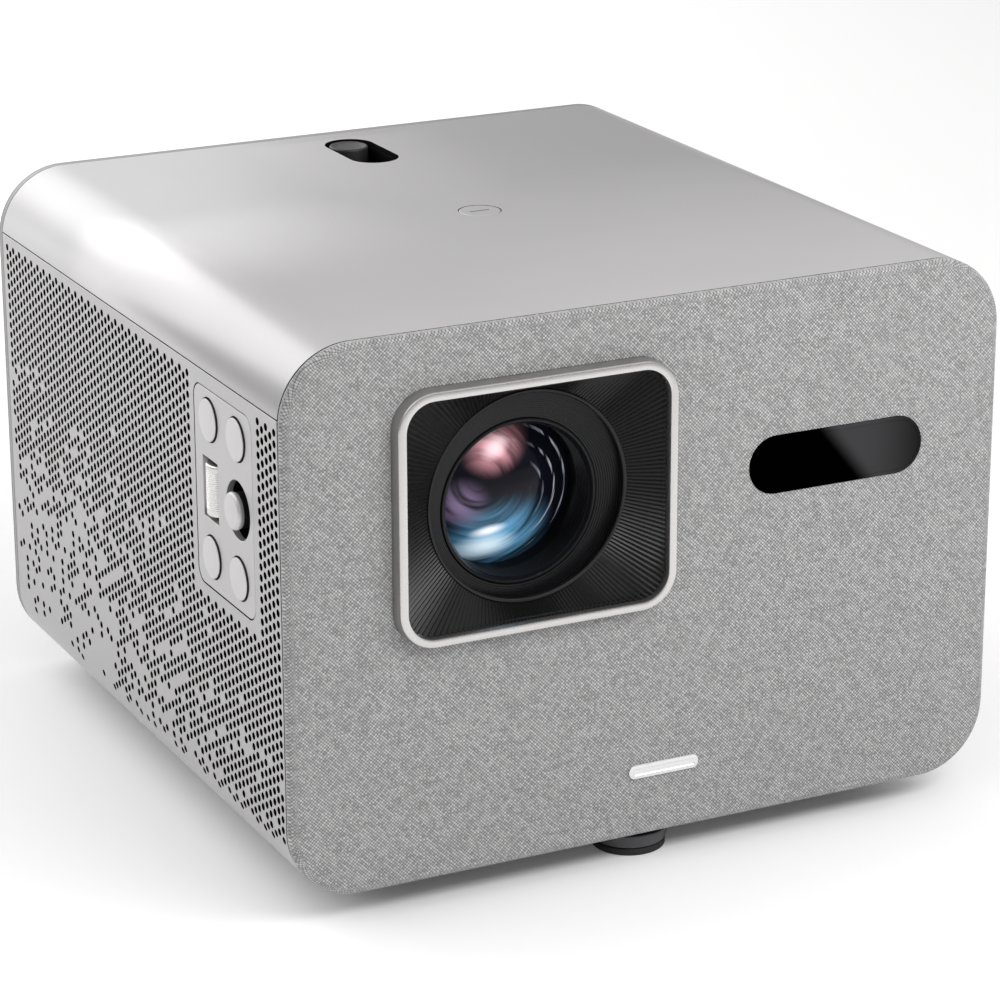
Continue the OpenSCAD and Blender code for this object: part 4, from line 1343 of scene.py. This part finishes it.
class PROJECTOR_OT_top_controls(bpy.types.Operator):
    """Makes the power button with its light strip, and the sliding knob in its tray"""

    bl_idname = "projector.top_controls"
    bl_label = "Top controls"

    def execute(self, context):
        shell = context.scene.projector_shell
        self.power(shell)
        self.tray()
        self.slider()
        return {"FINISHED"}

    def power(self, shell):
        paint = satin_paint("power_paint", shell.silver, 0.34)
        finished_copy("power_button", "power_button", paint, 0.22 * MM, 3)
        finished_copy("power_light", "power_button",
                      tinted_light("light_strip"), 0.05 * MM)

    def tray(self):
        black = moulded_plastic("tray_black", (0.003, 0.003, 0.003), 0.5, specular=0.1)
        finished_copy("slider_tray", "housing", black, 0.2 * MM)

    def slider(self):
        radius = SLIDER.size.x / 2
        top = SLIDER.hi.z
        low = TRAY.lo.z + 1.5 * MM
        stem_low = SLIDER.lo.z
        collar_top = stem_low + 3.2 * MM
        edge = 0.7 * MM
        bowl = 90 * MM
        bottom = top - 0.45 * MM
        profile = [(0, bottom)]
        profile += arc((0, bottom + bowl), bowl, -90 + 0.6, -90 + 3.2, 4)
        profile += [(radius - edge - 0.5 * MM, top - 0.05 * MM), (radius - edge, top)]
        profile += arc((radius - edge, top - edge), edge, 90, 0, 5)[1:]
        profile += [(radius, low), (1.8 * MM, low), (1.8 * MM, collar_top), (4 * MM, collar_top),
                    (4 * MM, stem_low), (0, stem_low)]
        bm = bmesh.new()
        turned(bm, profile, 64)
        place(bm, bm.verts, at=(0, SLIDER.mid.y, 0))
        piece("slider_knob_cap", bm, "slider",
              moulded_plastic("slider_satin", (0.018, 0.018, 0.019), 0.36), ("slider_knob",),
              sharp=40)


# Underside and back


class PROJECTOR_OT_feet(bpy.types.Operator):
    """Makes the front screw foot with its pad and the two fixed rear feet"""

    bl_idname = "projector.feet"
    bl_label = "Feet"

    def execute(self, context):
        black = rubber("foot_rubber", (0.014, 0.014, 0.015))
        self.pad(black)
        self.screw()
        finished_copy("rear_feet", "housing", black, 0.8 * MM, 3)
        return {"FINISHED"}

    def pad(self, black):
        radius = PAD.size.x / 2
        peg = 2.5 * MM
        thick = 2.4 * MM
        edge = 0.6 * MM
        profile = [(0, PAD.hi.z), (peg, PAD.hi.z), (peg, thick), (radius - edge, thick)]
        profile += arc((radius - edge, thick - edge), edge, 90, 0, 4)[1:]
        profile += arc((radius - edge, edge), edge, 0, -90, 4)
        for groove in (0.78, 0.56, 0.34):
            ring = radius * groove
            profile += [(ring + 0.5 * MM, 0), (ring + 0.3 * MM, 0.4 * MM),
                        (ring - 0.3 * MM, 0.4 * MM), (ring - 0.5 * MM, 0)]
        profile += [(0, 0)]
        bm = bmesh.new()
        turned(bm, profile, 64)
        place(bm, bm.verts, at=(0, PAD.mid.y, 0))
        piece("front_foot_pad_rubber", bm, "foot_pad", black,
              ("front_foot_pad",), sharp=40)

    def screw(self):
        """A flat disc on a threaded shank"""
        wide = SCREW.size.x / 2
        low, top = SCREW.lo.z, SCREW.hi.z
        disc_top = 7.5 * MM
        shank = 4 * MM
        edge = 0.5 * MM
        peg = 2.56 * MM
        profile = [(0, low + 2 * MM), (peg, low + 2 * MM), (peg, low),
                   (wide - 0.7 * MM - edge, low)]
        profile += arc((wide - 0.7 * MM - edge, low + edge), edge, -90, -8, 4)[1:]
        profile += arc((wide - edge, disc_top - edge - 0.1 * MM), edge, -8, 90, 5)
        profile += [(shank + 1 * MM, disc_top), (shank - 0.15 * MM, disc_top + 0.4 * MM)]
        pitch = 1.25 * MM
        root, crest = shank - 0.62 * MM, shank - 0.05 * MM
        height = disc_top + 0.8 * MM
        while height < top - pitch:
            profile += [(root, height), (crest, height + 0.5 * pitch),
                        (crest, height + 0.62 * pitch)]
            height += pitch
        profile += [(root, top - 0.4 * MM), (shank - 1 * MM, top), (0, top)]
        bm = bmesh.new()
        turned(bm, profile, 72)
        place(bm, bm.verts, at=(0, SCREW.mid.y, 0))
        piece("front_foot_screw_turned", bm, "foot_screw",
              moulded_plastic("foot_satin", (0.05, 0.05, 0.054), 0.4), ("front_foot_screw",),
              sharp=35)


def rear_finish(name, rgb, rim_rgb):
    """Black grained plastic whose rim is painted in the shell's silver, at 0.62 of its brightness"""
    shader = Shader(name)
    _, depth, _ = shader.axes(shader.place())
    grain = shader.add("TexVoronoi", {"feature": "SMOOTH_F1"},
                       {"Vector": shader.place(), "Scale": 1 / (0.25 * MM), "Smoothness": 0.6})
    cloud = shader.noise(shader.place(), 14 * MM, 3.0)
    rim = ((depth - COVER.hi.y) * 1000).smooth(2.9, 2.6)
    black = shader.mix(rgba(rgb, 0.85), rgba(rgb, 1.2), cloud)
    return shader.surface({
        "Base Color": shader.mix(black, rgba(rim_rgb, 0.62), rim),
        "Roughness": 0.46 + 0.12 * grain,
        "Metallic": 0.5 * rim,
        "Normal": shader.bump(grain, 0.02 * MM, 0.6),
    })


class PROJECTOR_OT_back_and_base(bpy.types.Operator):
    """Finishes the rear panel, its sockets and the base"""

    bl_idname = "projector.back_and_base"
    bl_label = "Back and base"

    def execute(self, context):
        shell = context.scene.projector_shell
        panel = rear_finish("rear_grain", (0.030, 0.030, 0.033), shell.silver)
        base = moulded_plastic("base_grain", (0.030, 0.030, 0.034), 0.5)
        plated = satin_metal("socket_plating", (0.58, 0.58, 0.57), 0.26)
        black = moulded_plastic("socket_black", (0.016, 0.016, 0.017), 0.4)
        finished_copy("rear_panel", "housing", panel, 0.5 * MM, 3)
        finished_copy("base_pan", "housing", base, 0.3 * MM)
        finished_copy("hdmi_sockets", "housing", plated, 0.2 * MM)
        finished_copy("usb_socket", "housing", plated, 0.2 * MM)
        finished_copy("audio_jack", "housing", black, 0.2 * MM)
        finished_copy("power_inlet", "housing", black, 0.3 * MM)
        self.tongues()
        return {"FINISHED"}

    def tongues(self):
        """The contact tongue inside each video and data socket"""
        bm = bmesh.new()
        depth = 9 * MM
        hdmi, usb = Span("hdmi_sockets"), Span("usb_socket")
        quarter = (hdmi.size.x - 16.5 * MM) / 2
        places = [(hdmi.mid.x - quarter, hdmi.mid.z - 0.2 * MM, 11 * MM, 1.1 * MM),
                  (hdmi.mid.x + quarter, hdmi.mid.z - 0.2 * MM, 11 * MM, 1.1 * MM),
                  (usb.mid.x, usb.mid.z + 1.2 * MM, 11 * MM, 1.9 * MM)]
        for x, z, width, thick in places:
            verts = bmesh.ops.create_cube(bm, size=1)["verts"]
            bmesh.ops.scale(bm, vec=(width, depth, thick), verts=verts)
            place(bm, verts, at=(x, hdmi.lo.y + 2 * MM + depth / 2, z))
        made = piece("socket_tongues", bm, "housing",
                     gloss_plastic("tongue_black", (0.014, 0.014, 0.015), 0.25))
        round_edges(made, 0.2 * MM)


# Inner pieces keep their own shape and get their finish


def inner_finishes():
    """One finish for each material slot of the pieces inside the shell"""
    return {
        "frame_black": moulded_plastic("frame_black", (0.045, 0.045, 0.05), 0.5),
        "gear_plastic": moulded_plastic("gear_plastic", (0.06, 0.06, 0.065), 0.45),
        "brass": satin_metal("brass", (0.62, 0.45, 0.16), 0.30),
        "steel": satin_metal("steel", (0.45, 0.46, 0.48), 0.32, (1, 1, 0.1)),
        "alloy": satin_metal("cast_alloy", (0.50, 0.51, 0.52), 0.45),
        "fin_aluminium": satin_metal("fin_aluminium", (0.66, 0.67, 0.68), 0.28, (0.05, 1, 1)),
        "copper": satin_metal("copper", (0.62, 0.30, 0.16), 0.28),
        "circuit_board": circuit_board("solder_mask", (0.012, 0.07, 0.035)),
        "fan_black": moulded_plastic("fan_black", (0.018, 0.018, 0.02), 0.4),
        "socket_black": moulded_plastic("bracket_black", (0.016, 0.016, 0.017), 0.42),
        "speaker_black": moulded_plastic("speaker_black", (0.02, 0.02, 0.02), 0.55),
        "cone_paper": paper_cone("cone_paper", (0.045, 0.045, 0.045)),
        "lens_glass": gloss_plastic("inner_glass", (0.12, 0.16, 0.26), 0.03),
    }


class PROJECTOR_OT_inner_parts(bpy.types.Operator):
    """Gives every piece inside the shell its finish"""

    bl_idname = "projector.inner_parts"
    bl_label = "Inner parts"

    def execute(self, context):
        finishes = inner_finishes()
        for part in frame["record"]["subparts"]:
            node = NODES[part["node"]]
            if node.hide_render:
                continue
            finish = finishes[part["material_slot"]]
            node.data.materials.clear()
            node.data.materials.append(finish)
        return {"FINISHED"}


# Stage


class PROJECTOR_OT_stage(bpy.types.Operator):
    """Places the camera, the floor and the soft lights"""

    bl_idname = "projector.stage"
    bl_label = "Stage"

    def execute(self, context):
        stage = context.scene.projector_stage
        self.camera(context, stage)
        self.floor(stage)
        self.sky(context)
        self.softbox("key", (-0.85, 1.1, 1.10), (-0.1, 0.1, 0.19), (3.4, 1.5), 21, (0, 1, 0))
        self.softbox("fill", (0.22, -0.55, 0.52), (0.05, -0.12, 0.19), (0.7, 0.25), 2.8, (1, 0, 0))
        self.softbox("back", (0.03, 1.7, 0.72), (-0.1, 0.05, 0.19), (1.2, 0.9), 3.8, (1, 0, 0))
        context.scene.view_settings.view_transform = "Standard"
        return {"FINISHED"}

    def camera(self, context, stage):
        lens = bpy.data.cameras.new("camera")
        lens.lens = stage.focal
        lens.sensor_width = 36
        lens.clip_start = 0.01
        made = bpy.data.objects.new("camera", lens)
        context.scene.collection.objects.link(made)
        yaw, pitch, roll = stage.yaw, stage.pitch, stage.roll
        ahead = Vector((math.sin(yaw) * math.cos(pitch), math.cos(yaw) * math.cos(pitch),
                        -math.sin(pitch)))
        right = Vector((math.cos(yaw), -math.sin(yaw), 0))
        down = ahead.cross(right)
        lean_right = math.cos(roll) * right + math.sin(roll) * down
        lean_down = math.cos(roll) * down - math.sin(roll) * right
        turn = Matrix((lean_right, -lean_down, -ahead)).transposed()
        made.matrix_world = Matrix.Translation(stage.camera_at) @ turn.to_4x4()
        context.scene.camera = made

    def floor(self, stage):
        bm = bmesh.new()
        bmesh.ops.create_grid(bm, x_segments=1, y_segments=1, size=12)
        mesh = bpy.data.meshes.new("floor")
        bm.to_mesh(mesh)
        bm.free()
        made = bpy.data.objects.new("floor", mesh)
        bpy.context.scene.collection.objects.link(made)
        shader = Shader("floor")
        cloud = shader.noise(shader.place(), 0.4, 2.0)
        mesh.materials.append(shader.surface({
            "Base Color": shader.mix(rgba(stage.floor, 0.99), rgba(stage.floor, 1.01), cloud),
            "Roughness": 0.9,
            "Specular IOR Level": 0.1,
            "Emission Color": (1, 1, 1, 1),
            "Emission Strength": 0.05,
        }))

    def sky(self, context):
        """A white room: brightest overhead, darker along the horizon"""
        world = bpy.data.worlds.new("room")
        world.use_nodes = True
        context.scene.world = world
        tree = world.node_tree
        light = tree.nodes["Background"]
        light.inputs["Color"].default_value = (1.0, 0.995, 0.99, 1.0)
        aim = tree.nodes.new("ShaderNodeTexCoord")
        split = tree.nodes.new("ShaderNodeSeparateXYZ")
        ramp = tree.nodes.new("ShaderNodeMapRange")
        tree.links.new(aim.outputs["Generated"], split.inputs[0])
        tree.links.new(split.outputs[2], ramp.inputs[0])
        ends = {"From Min": 0.0, "From Max": 0.9, "To Min": 0.22, "To Max": 0.80}
        for name, value in ends.items():
            ramp.inputs[name].default_value = value
        tree.links.new(ramp.outputs[0], light.inputs["Strength"])

    def softbox(self, name, at, towards, size, power, along):
        """A soft rectangular light whose first side runs along a direction"""
        light = bpy.data.lights.new(name, "AREA")
        light.shape = "RECTANGLE"
        light.size, light.size_y = size
        light.energy = power
        made = bpy.data.objects.new(name, light)
        bpy.context.scene.collection.objects.link(made)
        back = (Vector(at) - Vector(towards)).normalized()
        side = Vector(along)
        side = (side - side.dot(back) * back).normalized()
        turn = Matrix((side, back.cross(side), back)).transposed()
        made.matrix_world = Matrix.Translation(at) @ turn.to_4x4()


OPERATORS = (
    PROJECTOR_OT_stage, PROJECTOR_OT_side_plates, PROJECTOR_OT_top_cover,
    PROJECTOR_OT_front_fabric, PROJECTOR_OT_lens_bezel, PROJECTOR_OT_lens_shroud,
    PROJECTOR_OT_lens, PROJECTOR_OT_sensor_window, PROJECTOR_OT_badge,
    PROJECTOR_OT_control_panel, PROJECTOR_OT_top_controls, PROJECTOR_OT_feet,
    PROJECTOR_OT_back_and_base, PROJECTOR_OT_inner_parts,
)


class PROJECTOR_PT_panel(bpy.types.Panel):
    """Lists the pieces of the projector"""

    bl_idname = "PROJECTOR_PT_panel"
    bl_label = "Home projector"
    bl_space_type = "VIEW_3D"
    bl_region_type = "UI"
    bl_category = "Projector"

    def draw(self, context):
        for operator in OPERATORS:
            self.layout.operator(operator.bl_idname)


SETTINGS = {
    "projector_stage": StageSettings,
    "projector_shell": ShellSettings,
    "projector_front": FrontSettings,
    "projector_controls": ControlSettings,
}
CLASSES = (*SETTINGS.values(), *OPERATORS, PROJECTOR_PT_panel)


def register():
    for item in CLASSES:
        bpy.utils.register_class(item)
    for name, group in SETTINGS.items():
        setattr(bpy.types.Scene, name, PointerProperty(type=group))


def unregister():
    for name in SETTINGS:
        delattr(bpy.types.Scene, name)
    for item in reversed(CLASSES):
        bpy.utils.unregister_class(item)


def main():
    register()
    for operator in OPERATORS:
        group, name = operator.bl_idname.split(".")
        getattr(getattr(bpy.ops, group), name)()


if __name__ == "__main__":
    main()
